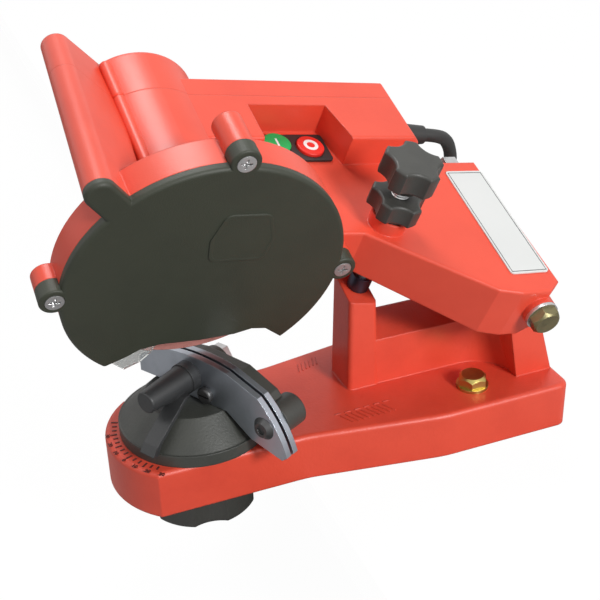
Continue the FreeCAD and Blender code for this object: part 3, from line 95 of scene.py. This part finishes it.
# Stage
BENCH_EDGE = -92.0
SURROUND = 0.26
FLOOR_Z = -0.06
FLOOR_TONE = 0.45
FLOOR_WHITE = 1.04
FLOOR_SEEN = 0.94
LAMPS = (("key", (0.35, -1.3, 0.75), (-0.04, 0, 0.05), 0.35, 19),
         ("top", (-0.05, 0.55, 1.4), (-0.04, 0, 0.1), 0.5, 10),
         ("left", (-1.4, 0.1, 1.2), (-0.06, 0, 0.1), 0.6, 3))

# Camera, fitted to the photograph's view
CAMERA_PLACE = (-248.1, -440.25, 338.24)
CAMERA_TURN = (61.074, 1.578, -21.741)
CAMERA_LENS = 68.47

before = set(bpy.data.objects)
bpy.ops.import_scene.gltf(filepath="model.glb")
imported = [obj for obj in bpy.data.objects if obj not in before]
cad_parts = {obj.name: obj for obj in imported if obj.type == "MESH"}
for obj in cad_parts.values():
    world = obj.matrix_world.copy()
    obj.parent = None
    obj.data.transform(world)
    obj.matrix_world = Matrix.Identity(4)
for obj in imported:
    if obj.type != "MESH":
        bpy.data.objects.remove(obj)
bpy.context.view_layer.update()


# Places
def head_matrix():
    """The place of head coordinates, in millimetres, in the shared frame."""
    turn = Matrix.Rotation(HEAD_TILT, 4, "X") @ Matrix.Rotation(ARM_SLOPE, 4, "Y")
    return Matrix.Translation(WHEEL_CENTRE) @ turn


def on_head(place):
    """A place of head coordinates in the shared frame, both in millimetres."""
    return head_matrix() @ Vector(place)


# Shader groups
def new_group(name, inputs, outputs):
    """An empty shader group with named sockets."""
    group = bpy.data.node_groups.new(name, "ShaderNodeTree")
    for label, kind, value in inputs:
        socket = group.interface.new_socket(name=label, in_out="INPUT", socket_type=kind)
        if value is not None:
            socket.default_value = value
    for label, kind in outputs:
        group.interface.new_socket(name=label, in_out="OUTPUT", socket_type=kind)
    return group


def put(group, kind, **values):
    """A node in a tree, with its inputs set by name or number."""
    node = group.nodes.new(kind)
    for key, value in values.items():
        if hasattr(node, key):
            setattr(node, key, value)
        else:
            node.inputs[key.replace("_", " ")].default_value = value
    return node


def mottle_group():
    """Slow changes of tone over a surface, and a fine grain for its relief."""
    group = new_group("surface_mottle",
                      [("Colour", "NodeSocketColor", (0.8, 0.8, 0.8, 1)),
                       ("Shade", "NodeSocketColor", (0.1, 0.1, 0.1, 1)),
                       ("Patch size", "NodeSocketFloat", 40.0),
                       ("Amount", "NodeSocketFloat", 0.3),
                       ("Grain size", "NodeSocketFloat", 900.0),
                       ("Roughness", "NodeSocketFloat", 0.4),
                       ("Roughness spread", "NodeSocketFloat", 0.1)],
                      [("Colour", "NodeSocketColor"), ("Roughness", "NodeSocketFloat"),
                       ("Grain", "NodeSocketFloat")])
    inside = put(group, "NodeGroupInput")
    outside = put(group, "NodeGroupOutput")
    place = put(group, "ShaderNodeTexCoord")
    patches = put(group, "ShaderNodeTexNoise", Detail=4.0, Roughness=0.6)
    grain = put(group, "ShaderNodeTexNoise", Detail=3.0, Roughness=0.5)
    link = group.links.new
    link(place.outputs["Object"], patches.inputs["Vector"])
    link(inside.outputs["Patch size"], patches.inputs["Scale"])
    link(place.outputs["Object"], grain.inputs["Vector"])
    link(inside.outputs["Grain size"], grain.inputs["Scale"])
    spread = put(group, "ShaderNodeMapRange")
    spread.inputs["From Min"].default_value = 0.45
    spread.inputs["From Max"].default_value = 0.75
    link(patches.outputs["Fac"], spread.inputs["Value"])
    share = put(group, "ShaderNodeMath", operation="MULTIPLY")
    link(spread.outputs["Result"], share.inputs[0])
    link(inside.outputs["Amount"], share.inputs[1])
    mix = put(group, "ShaderNodeMix", data_type="RGBA")
    link(share.outputs[0], mix.inputs["Factor"])
    link(inside.outputs["Colour"], mix.inputs[6])
    link(inside.outputs["Shade"], mix.inputs[7])
    link(mix.outputs[2], outside.inputs["Colour"])
    rough = put(group, "ShaderNodeMath", operation="MULTIPLY_ADD")
    link(patches.outputs["Fac"], rough.inputs[0])
    link(inside.outputs["Roughness spread"], rough.inputs[1])
    link(inside.outputs["Roughness"], rough.inputs[2])
    link(rough.outputs[0], outside.inputs["Roughness"])
    link(grain.outputs["Fac"], outside.inputs["Grain"])
    return group


MOTTLE = mottle_group()


def finish(name, colour, shade=None, roughness=0.4, metallic=0.0, patch=40.0, amount=0.25,
           grain=900.0, grain_height=0.1, rounding=0.6, spread=0.08):
    """A material of this object: a mottled colour with a fine grain and softened edges."""
    material = bpy.data.materials.new(name)
    material.use_nodes = True
    tree = material.node_tree
    shader = tree.nodes["Principled BSDF"]
    surface = tree.nodes.new("ShaderNodeGroup")
    surface.node_tree = MOTTLE
    surface.inputs["Colour"].default_value = (*colour, 1)
    surface.inputs["Shade"].default_value = (*(shade or [c * 0.6 for c in colour]), 1)
    surface.inputs["Patch size"].default_value = patch
    surface.inputs["Amount"].default_value = amount
    surface.inputs["Grain size"].default_value = grain
    surface.inputs["Roughness"].default_value = roughness
    surface.inputs["Roughness spread"].default_value = spread
    tree.links.new(surface.outputs["Colour"], shader.inputs["Base Color"])
    tree.links.new(surface.outputs["Roughness"], shader.inputs["Roughness"])
    shader.inputs["Metallic"].default_value = metallic
    bump = tree.nodes.new("ShaderNodeBump")
    bump.inputs["Strength"].default_value = grain_height
    bump.inputs["Distance"].default_value = 0.0004
    tree.links.new(surface.outputs["Grain"], bump.inputs["Height"])
    if rounding:
        edge = tree.nodes.new("ShaderNodeBevel")
        edge.samples = 6
        edge.inputs["Radius"].default_value = rounding * MM
        tree.links.new(edge.outputs["Normal"], bump.inputs["Normal"])
    tree.links.new(bump.outputs["Normal"], shader.inputs["Normal"])
    return material


RED_CAST = finish("red_cast_paint", (0.74, 0.075, 0.038), (0.52, 0.035, 0.018), roughness=0.36, patch=30,
                  amount=0.35, grain=700, grain_height=0.25, rounding=1.2)
RED_SHELL = finish("red_shell", (0.76, 0.078, 0.04), (0.6, 0.045, 0.024), roughness=0.34, patch=25,
                   amount=0.3, grain=1200, grain_height=0.12, rounding=0.9)
DARK_COVER = finish("dark_cover", (0.03, 0.034, 0.021), (0.018, 0.021, 0.013), roughness=0.5, patch=35,
                    amount=0.5, grain=1500, grain_height=0.2, rounding=0.6)
DARK_CAST = finish("dark_cast", (0.05, 0.052, 0.045), (0.026, 0.028, 0.025), roughness=0.42, patch=45,
                   amount=0.5, grain=900, grain_height=0.3, rounding=0.8)
RAIL_STEEL = finish("rail_steel", (0.42, 0.45, 0.5), (0.25, 0.27, 0.3), roughness=0.3, metallic=1.0, patch=60,
                    amount=0.5, grain=1600, grain_height=0.08, rounding=0.3)
BRIGHT_STEEL = finish("bright_steel", (0.6, 0.6, 0.6), (0.35, 0.35, 0.35), roughness=0.28, metallic=1.0,
                      patch=120, amount=0.4, rounding=0.25)
BLACK_STEEL = finish("black_steel", (0.1, 0.1, 0.1), (0.05, 0.05, 0.05), roughness=0.35, metallic=0.8,
                     patch=120, amount=0.4, rounding=0.3)
YELLOW_ZINC = finish("yellow_zinc", (0.5, 0.4, 0.13), (0.28, 0.22, 0.09), roughness=0.3, metallic=1.0,
                     patch=90, amount=0.5, rounding=0.3)
DARK_ZINC = finish("dark_zinc", (0.24, 0.21, 0.11), (0.1, 0.09, 0.05), roughness=0.35, metallic=1.0,
                   patch=150, amount=0.6, rounding=0.3)
BLUED_STEEL = finish("blued_steel", (0.07, 0.075, 0.11), (0.04, 0.042, 0.06), roughness=0.3, metallic=0.9,
                     patch=120, amount=0.4, rounding=0.3)
BLACK_LEVER = finish("black_lever", (0.03, 0.031, 0.032), (0.015, 0.015, 0.016), roughness=0.38, patch=60,
                     amount=0.5, grain_height=0.15, rounding=0.5)
KNOB_BLACK = finish("knob_black", (0.045, 0.045, 0.04), (0.025, 0.025, 0.022), roughness=0.42, patch=60,
                    amount=0.5, grain=1400, grain_height=0.2, rounding=0.8)
BUTTON_GREEN = finish("button_green", (0.0, 0.42, 0.1), (0.0, 0.3, 0.07), roughness=0.35, amount=0.2,
                      rounding=0.3)
BUTTON_RED = finish("button_red", (0.78, 0.03, 0.02), (0.6, 0.02, 0.01), roughness=0.35, amount=0.2,
                    rounding=0.3)
PLATE_BLACK = finish("plate_black", (0.02, 0.02, 0.02), roughness=0.4, rounding=0.3)
LABEL_WHITE = finish("label_white", (0.66, 0.67, 0.66), (0.6, 0.61, 0.6), roughness=0.4, amount=0.3,
                     grain_height=0.02, rounding=0.1)
WHEEL_STONE = finish("wheel_stone", (0.5, 0.2, 0.17), (0.35, 0.13, 0.11), roughness=0.85, patch=300,
                     amount=0.5, grain=2500, grain_height=0.6, rounding=0.3, spread=0.05)
COPPER = finish("copper_wire", (0.6, 0.25, 0.1), roughness=0.35, metallic=1.0, rounding=0.3)
SHEETS = finish("sheet_steel", (0.3, 0.3, 0.32), roughness=0.45, metallic=1.0, rounding=0.2)
BRASS = finish("plain_brass", (0.7, 0.5, 0.2), roughness=0.3, metallic=1.0, rounding=0.2)
CORD_RUBBER = finish("cord_rubber", (0.022, 0.022, 0.021), (0.014, 0.014, 0.014), roughness=0.5, patch=80,
                     amount=0.4, grain=1800, grain_height=0.1, rounding=0.3)
# Dark red for the raised scale ridges and numbers: painted shade on the red casting, not a printed colour.
PAINTED_SHADE_MARK = finish("painted_shade_mark", (0.09, 0.014, 0.01), roughness=0.6, rounding=0)
MARK_WHITE = finish("mark_white", (0.85, 0.85, 0.83), roughness=0.5, rounding=0)


def clear_plastic():
    """The see-through plastic of the flap below the cover."""
    material = bpy.data.materials.new("clear_plastic")
    material.use_nodes = True
    shader = material.node_tree.nodes["Principled BSDF"]
    shader.inputs["Base Color"].default_value = (0.9, 0.92, 0.9, 1)
    shader.inputs["Roughness"].default_value = 0.08
    shader.inputs["Transmission Weight"].default_value = 0.85
    shader.inputs["IOR"].default_value = 1.49
    return material


CLEAR = clear_plastic()

NODE_FINISH = {
    RED_CAST: ["base"],
    RED_SHELL: ["front_housing", "rear_housing"],
    DARK_COVER: ["guard_cover"],
    DARK_CAST: ["turntable"],
    RAIL_STEEL: ["near_rail", "far_rail"],
    BRIGHT_STEEL: ["guard_screws", "clamp_nut", "stop_pin", "stop_pawl", "turntable_stud",
                   "knob_washer", "housing_screws", "visor_screw", "motor_shaft", "inner_flange",
                   "outer_flange", "wheel_nut", "motor_bearings", "pivot_nut", "depth_screw",
                   "pivot_washers"],
    BLACK_STEEL: ["guide_screw", "clamp_screw", "guide_pin"],
    BLUED_STEEL: ["tip_cap"],
    DARK_ZINC: ["pivot_bolt"],
    YELLOW_ZINC: ["bench_bolts", "bench_washers"],
    BLACK_LEVER: ["clamp_collar", "clamp_lever"],
    KNOB_BLACK: ["lock_knob", "depth_knob", "lock_nut_knob"],
    BUTTON_GREEN: ["green_button"],
    BUTTON_RED: ["red_button"],
    PLATE_BLACK: ["switch_plate", "switch_body", "capacitor", "fan", "brushes"],
    LABEL_WHITE: ["label_plate"],
    WHEEL_STONE: ["grinding_wheel"],
    COPPER: ["armature_winding", "commutator", "field_coils"],
    SHEETS: ["rotor_core", "stator_core"],
    BRASS: ["brush_holders", "pivot_bushes", "screw_insert"],
    CORD_RUBBER: ["strain_relief", "plug", "power_cord", "cord_coil"],
    CLEAR: ["visor"],
}
for material, names in NODE_FINISH.items():
    for name in names:
        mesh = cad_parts[name].data
        mesh.materials.clear()
        mesh.materials.append(material)


# Floor, lights and camera
def pale_material():
    """A pale sheet: the camera sees it near white with soft shadows, and it lights the object plainly."""
    material = bpy.data.materials.new("pale_floor")
    material.use_nodes = True
    tree = material.node_tree
    shader = tree.nodes["Principled BSDF"]
    shader.inputs["Base Color"].default_value = (FLOOR_TONE, FLOOR_TONE, FLOOR_TONE, 1)
    shader.inputs["Roughness"].default_value = 0.9
    shader.inputs["Specular IOR Level"].default_value = 0.1
    white = tree.nodes.new("ShaderNodeEmission")
    white.inputs["Color"].default_value = (1, 1, 1, 1)
    white.inputs["Strength"].default_value = FLOOR_WHITE
    rays = tree.nodes.new("ShaderNodeLightPath")
    share = tree.nodes.new("ShaderNodeMath")
    share.operation = "MULTIPLY"
    share.inputs[1].default_value = FLOOR_SEEN
    mix = tree.nodes.new("ShaderNodeMixShader")
    tree.links.new(rays.outputs["Is Camera Ray"], share.inputs[0])
    tree.links.new(share.outputs[0], mix.inputs["Fac"])
    tree.links.new(shader.outputs["BSDF"], mix.inputs[1])
    tree.links.new(white.outputs["Emission"], mix.inputs[2])
    tree.links.new(mix.outputs["Shader"], tree.nodes["Material Output"].inputs["Surface"])
    return material


def make_stage():
    """A pale bench top that ends under the nose, so that the knob hangs free, and a floor far below."""
    pale = pale_material()
    bench = bmesh.new()
    bmesh.ops.create_cube(bench, size=1.0)
    bmesh.ops.scale(bench, verts=bench.verts, vec=(3.0, 4.0, 0.02))
    bmesh.ops.translate(bench, verts=bench.verts, vec=(BENCH_EDGE * MM + 1.5, 0.5, -0.0102))
    floor = bmesh.new()
    bmesh.ops.create_grid(floor, x_segments=1, y_segments=1, size=8.0)
    bmesh.ops.translate(floor, verts=floor.verts, vec=(0, 0, FLOOR_Z))
    for name, shape in (("bench", bench), ("floor", floor)):
        mesh = bpy.data.meshes.new(name)
        shape.to_mesh(mesh)
        shape.free()
        mesh.materials.append(pale)
        piece = bpy.data.objects.new(name, mesh)
        bpy.context.scene.collection.objects.link(piece)


def area_light(name, place, target, size, power):
    """A soft square lamp that faces a point."""
    light = bpy.data.lights.new(name, "AREA")
    light.shape = "SQUARE"
    light.size = size
    light.energy = power
    lamp = bpy.data.objects.new(name, light)
    lamp.location = place
    lamp.rotation_euler = (Vector(target) - Vector(place)).to_track_quat("-Z", "Y").to_euler()
    bpy.context.scene.collection.objects.link(lamp)


def make_world():
    """An even surround: white to the eye and in reflections, and a plain level of light on the object."""
    world = bpy.data.worlds.new("studio")
    bpy.context.scene.world = world
    world.use_nodes = True
    tree = world.node_tree
    plain = tree.nodes["Background"]
    plain.inputs["Color"].default_value = (1, 1, 1, 1)
    plain.inputs["Strength"].default_value = SURROUND
    white = tree.nodes.new("ShaderNodeBackground")
    white.inputs["Color"].default_value = (1, 1, 1, 1)
    white.inputs["Strength"].default_value = 1.0
    rays = tree.nodes.new("ShaderNodeLightPath")
    seen = tree.nodes.new("ShaderNodeMath")
    seen.operation = "MAXIMUM"
    mix = tree.nodes.new("ShaderNodeMixShader")
    mirrored = tree.nodes.new("ShaderNodeMath")
    mirrored.operation = "MAXIMUM"
    tree.links.new(rays.outputs["Is Camera Ray"], seen.inputs[0])
    tree.links.new(rays.outputs["Is Transmission Ray"], seen.inputs[1])
    tree.links.new(seen.outputs[0], mirrored.inputs[0])
    tree.links.new(rays.outputs["Is Glossy Ray"], mirrored.inputs[1])
    tree.links.new(mirrored.outputs[0], mix.inputs["Fac"])
    tree.links.new(plain.outputs["Background"], mix.inputs[1])
    tree.links.new(white.outputs["Background"], mix.inputs[2])
    tree.links.new(mix.outputs["Shader"], tree.nodes["World Output"].inputs["Surface"])


def make_camera():
    """The camera that sees the object as the photograph does."""
    camera = bpy.data.cameras.new("camera")
    camera.lens = CAMERA_LENS
    camera.sensor_width = 36.0
    camera.sensor_fit = "AUTO"
    camera.clip_start = 0.01
    eye = bpy.data.objects.new("camera", camera)
    eye.location = Vector(CAMERA_PLACE) * MM
    eye.rotation_euler = Euler([math.radians(a) for a in CAMERA_TURN], "XYZ")
    bpy.context.scene.collection.objects.link(eye)
    bpy.context.scene.camera = eye


# Cord and coil
def smooth(share):
    """A climb from 0 to 1 that starts and ends level."""
    share = min(1.0, max(0.0, share))
    return share * share * (3 - 2 * share)


def coil_place(turns):
    """A place on the coil after some turns: in and out at a steady rate, layer below layer."""
    layer = min(int(turns / COIL_TURNS), COIL_LAYERS - 1)
    share = turns / COIL_TURNS - layer
    if layer % 2:
        share = 1 - share
    radius = COIL_OUTER + (COIL_INNER - COIL_OUTER) * share
    drop = 0.0
    for k in range(1, COIL_LAYERS):
        drop += COIL_PITCH * smooth((turns - k * COIL_TURNS) / 0.5 + 0.5)
    angle = COIL_START - 2 * math.pi * turns
    top = CORD_R + COIL_PITCH * (COIL_LAYERS - 1)
    x = COIL_CENTRE[0] + radius * math.cos(angle)
    y = COIL_CENTRE[1] + radius * math.sin(angle)
    return Vector((x, y, top - drop))


def coil_heading(turns):
    """The level direction of the cord at one end of the coil."""
    ahead = coil_place(turns + 1e-4) - coil_place(turns - 1e-4)
    ahead.z = 0
    return ahead.normalized()


def cord_points():
    """The route: out of the boot, down to the bench behind the base, and round the coil to the plug."""
    leave = on_head(CORD_EXIT)
    ahead = on_head((CORD_EXIT[0] + CORD_LEAD, CORD_EXIT[1], CORD_EXIT[2]))
    whole = COIL_TURNS * COIL_LAYERS
    first = coil_place(0.0)
    inward = coil_heading(0.0)
    outward = coil_heading(whole)
    points = [leave, ahead] + [Vector(p) for p in CORD_ROUTE]
    points += [first - inward * (CORD_LAND + 2 * CORD_R), first - inward * (2 * CORD_R)]
    steps = int(round(whole * COIL_POINTS))
    points += [coil_place(i / COIL_POINTS) for i in range(steps + 1)]
    points.append(coil_place(whole) + outward * PLUG_LEAD)
    return [p * MM for p in points]


def make_cord():
    """One smooth lead from the boot to the plug, as a tube; its first stretch starts from places given in
    head coordinates.
    """
    points = cord_points()
    line = bpy.data.curves.new("cord_line", "CURVE")
    line.dimensions = "3D"
    spline = line.splines.new("NURBS")
    spline.points.add(len(points) - 1)
    for place, point in zip(points, spline.points):
        point.co = (*place, 1.0)
    spline.order_u = 3
    spline.use_endpoint_u = True
    spline.resolution_u = 6
    guide = bpy.data.objects.new("cord_guide", line)
    bpy.context.scene.collection.objects.link(guide)
    graph = bpy.context.evaluated_depsgraph_get()
    bare = bpy.data.meshes.new_from_object(guide.evaluated_get(graph))
    path = [tuple(v.co) for v in bare.vertices]
    line.bevel_depth = CORD_R * MM
    line.bevel_resolution = 4
    line.use_fill_caps = True
    graph = bpy.context.evaluated_depsgraph_get()
    mesh = bpy.data.meshes.new_from_object(guide.evaluated_get(graph))
    mesh.name = "cord"
    bpy.data.objects.remove(guide)
    bpy.data.curves.remove(line)
    mesh.materials.clear()
    mesh.materials.append(CORD_RUBBER)
    for face in mesh.polygons:
        face.use_smooth = True
    cord = bpy.data.objects.new("cord", mesh)
    bpy.context.scene.collection.objects.link(cord)
    length = sum((Vector(p) - Vector(q)).length for p, q in zip(path, path[1:]))
    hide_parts("power_cord", "cord_coil")
    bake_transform(cord)
    print("cord measures", round(length, 4))


# Printed and cast details
def piece_from(shape, name, body, material):
    """A finished mesh piece that rides on a body."""
    bmesh.ops.recalc_face_normals(shape, faces=shape.faces)
    mesh = bpy.data.meshes.new(name)
    shape.to_mesh(mesh)
    shape.free()
    mesh.materials.append(material)
    piece = bpy.data.objects.new(name, mesh)
    bpy.context.scene.collection.objects.link(piece)
    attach(piece, body)
    return piece


def add_bar(shape, size, place):
    """A small bar added to a mesh, at a place given by a matrix, in millimetres."""
    made = bmesh.ops.create_cube(shape, size=1.0)
    scale = Matrix.Diagonal((*size, 1.0))
    bmesh.ops.transform(shape, matrix=Matrix.Scale(MM, 4) @ place @ scale, verts=made["verts"])


def on_nose(radius, angle, height):
    """A place on the base's top about the turntable's axis, facing outwards."""
    turn = Matrix.Rotation(math.radians(angle), 4, "Z")
    return Matrix.Translation((TURN_X, 0, height)) @ turn @ Matrix.Translation((radius, 0, 0))


def make_scale():
    """The angle scale round the turntable: ridges every five degrees, longer ones every fifteen, coloured
    dark red as painted shade.
    """
    marks = bmesh.new()
    for step in range(-9, 10):
        angle = SCALE_MIDDLE + SCALE_STEP * step
        length = 3.2 if step % 3 == 0 else 2.2
        radius = SCALE_R + length / 2
        if abs(on_nose(radius + 2, angle, 0).translation.y) < NOSE_HALF - 3.0:
            add_bar(marks, (length, 0.75, 0.5), on_nose(radius, angle, BASE_H))
    piece_from(marks, "scale_ridges", "frame", PAINTED_SHADE_MARK)


def make_numbers():
    """The numbers of the scale, raised a little from the casting and coloured dark red as painted shade."""
    pieces = bmesh.new()
    for step in (-3, -2, -1, 0, 1, 2, 3):
        angle = SCALE_MIDDLE + NUMBER_STEP * step
        text = bpy.data.curves.new("number", "FONT")
        text.body = str(abs(NUMBER_STEP * step))
        text.size = NUMBER_SIZE
        text.extrude = 0.15
        text.align_x = "CENTER"
        text.align_y = "CENTER"
        holder = bpy.data.objects.new("number", text)
        bpy.context.scene.collection.objects.link(holder)
        graph = bpy.context.evaluated_depsgraph_get()
        flat = bpy.data.meshes.new_from_object(holder.evaluated_get(graph))
        bpy.data.objects.remove(holder)
        place = on_nose(SCALE_R + NUMBER_OUT, angle, BASE_H) @ Matrix.Rotation(math.radians(90), 4, "Z")
        flat.transform(Matrix.Scale(MM, 4) @ place)
        pieces.from_mesh(flat)
        bpy.data.meshes.remove(flat)
    piece_from(pieces, "scale_numbers", "frame", PAINTED_SHADE_MARK)


def make_ribs():
    """Short rows of cast ridges on the top of the base, beside the post."""
    ridges = bmesh.new()
    for start, end, count, length, turn in RIB_ROWS:
        for i in range(count):
            share = i / (count - 1)
            x = start[0] + (end[0] - start[0]) * share
            y = start[1] + (end[1] - start[1]) * share
            place = Matrix.Translation((x, y, BASE_H)) @ Matrix.Rotation(math.radians(turn), 4, "Z")
            add_bar(ridges, (length, 0.7, 0.5), place)
    piece_from(ridges, "cast_ridges", "frame", RED_CAST)


def make_flank_ribs():
    """The rounded rib along the motor housing, beside the column: one length on each shell."""
    turn = head_matrix()
    u = RIB_REACH * math.cos(math.radians(RIB_ANGLE))
    w = RIB_REACH * math.sin(math.radians(RIB_ANGLE))
    for name, a0, a1 in RIB_SPANS:
        ribs = bmesh.new()
        bmesh.ops.create_cone(ribs, cap_ends=True, segments=24, radius1=RIB_R, radius2=RIB_R, depth=a1 - a0)
        place = Matrix.Translation((u, (a0 + a1) / 2, w)) @ Matrix.Rotation(math.pi / 2, 4, "X")
        bmesh.ops.transform(ribs, matrix=Matrix.Scale(MM, 4) @ turn @ place, verts=ribs.verts)
        rims = [e for e in ribs.edges if len(e.link_faces) == 2
                and any(len(f.verts) > 4 for f in e.link_faces)]
        bmesh.ops.bevel(ribs, geom=rims, offset=1.0 * MM, affect="EDGES", segments=4, profile=0.5,
                        material=-1)
        piece_from(ribs, name, "head", RED_SHELL)


def make_signs():
    """The white signs inlaid in the two buttons."""
    turn = head_matrix()
    bar = bmesh.new()
    add_bar(bar, (1.5, 6.0, SIGN_T), turn @ Matrix.Translation((GREEN_AT[0], GREEN_AT[1], SIGN_TOP)))
    piece_from(bar, "start_sign", "green_push", MARK_WHITE)
    ring = bmesh.new()
    bmesh.ops.create_circle(ring, cap_ends=False, segments=40, radius=RING_OUTER)
    bmesh.ops.create_circle(ring, cap_ends=False, segments=40, radius=RING_INNER)
    bmesh.ops.bridge_loops(ring, edges=ring.edges[:])
    bmesh.ops.solidify(ring, geom=ring.faces[:], thickness=SIGN_T)
    place = turn @ Matrix.Translation((RED_AT[0], RED_AT[1], SIGN_TOP + 0.17))
    bmesh.ops.transform(ring, matrix=Matrix.Scale(MM, 4) @ place, verts=ring.verts)
    piece_from(ring, "stop_sign", "red_push", MARK_WHITE)


def make_label_border():
    """The thin dark line round the bare plate."""
    line = bmesh.new()
    u0, u1, a0, a1 = LABEL_EDGE
    turn = head_matrix()
    for u in (u0, u1):
        place = Matrix.Translation((u, (a0 + a1) / 2, LABEL_TOP))
        add_bar(line, (LABEL_LINE, a1 - a0, 0.12), turn @ place)
    for a in (a0, a1):
        place = Matrix.Translation(((u0 + u1) / 2, a, LABEL_TOP))
        add_bar(line, (u1 - u0 + LABEL_LINE, LABEL_LINE, 0.12), turn @ place)
    piece_from(line, "plate_border", "head", PLATE_BLACK)


def make_thread():
    """The visible thread of the depth screw between its knobs."""
    thread = bmesh.new()
    made = bmesh.ops.create_circle(thread, cap_ends=True, segments=3, radius=0.42)
    upright = Matrix.Rotation(math.pi / 2, 3, "X")
    bmesh.ops.rotate(thread, verts=made["verts"], cent=(0, 0, 0), matrix=upright)
    bmesh.ops.translate(thread, verts=made["verts"], vec=(THREAD_R, 0, 0))
    turns = (THREAD_HIGH - THREAD_LOW) / THREAD_PITCH
    profile = thread.faces[:] + thread.edges[:] + thread.verts[:]
    bmesh.ops.spin(thread, geom=profile, cent=(0, 0, 0), axis=(0, 0, 1), angle=2 * math.pi * turns,
                   dvec=(0, 0, THREAD_PITCH / THREAD_STEPS), steps=int(THREAD_STEPS * turns),
                   use_duplicate=False)
    matrix = Matrix.Scale(MM, 4) @ head_matrix() @ Matrix.Translation((*THREAD_AT, THREAD_LOW))
    bmesh.ops.transform(thread, matrix=matrix, verts=thread.verts)
    piece_from(thread, "depth_thread", "depth_spindle", BRIGHT_STEEL)


make_camera()
make_cord()
make_scale()
make_numbers()
make_ribs()
make_flank_ribs()
make_signs()
make_label_border()
make_thread()
make_stage()
make_world()
for lamp in LAMPS:
    area_light(*lamp)
bpy.context.scene.view_settings.view_transform = "Standard"
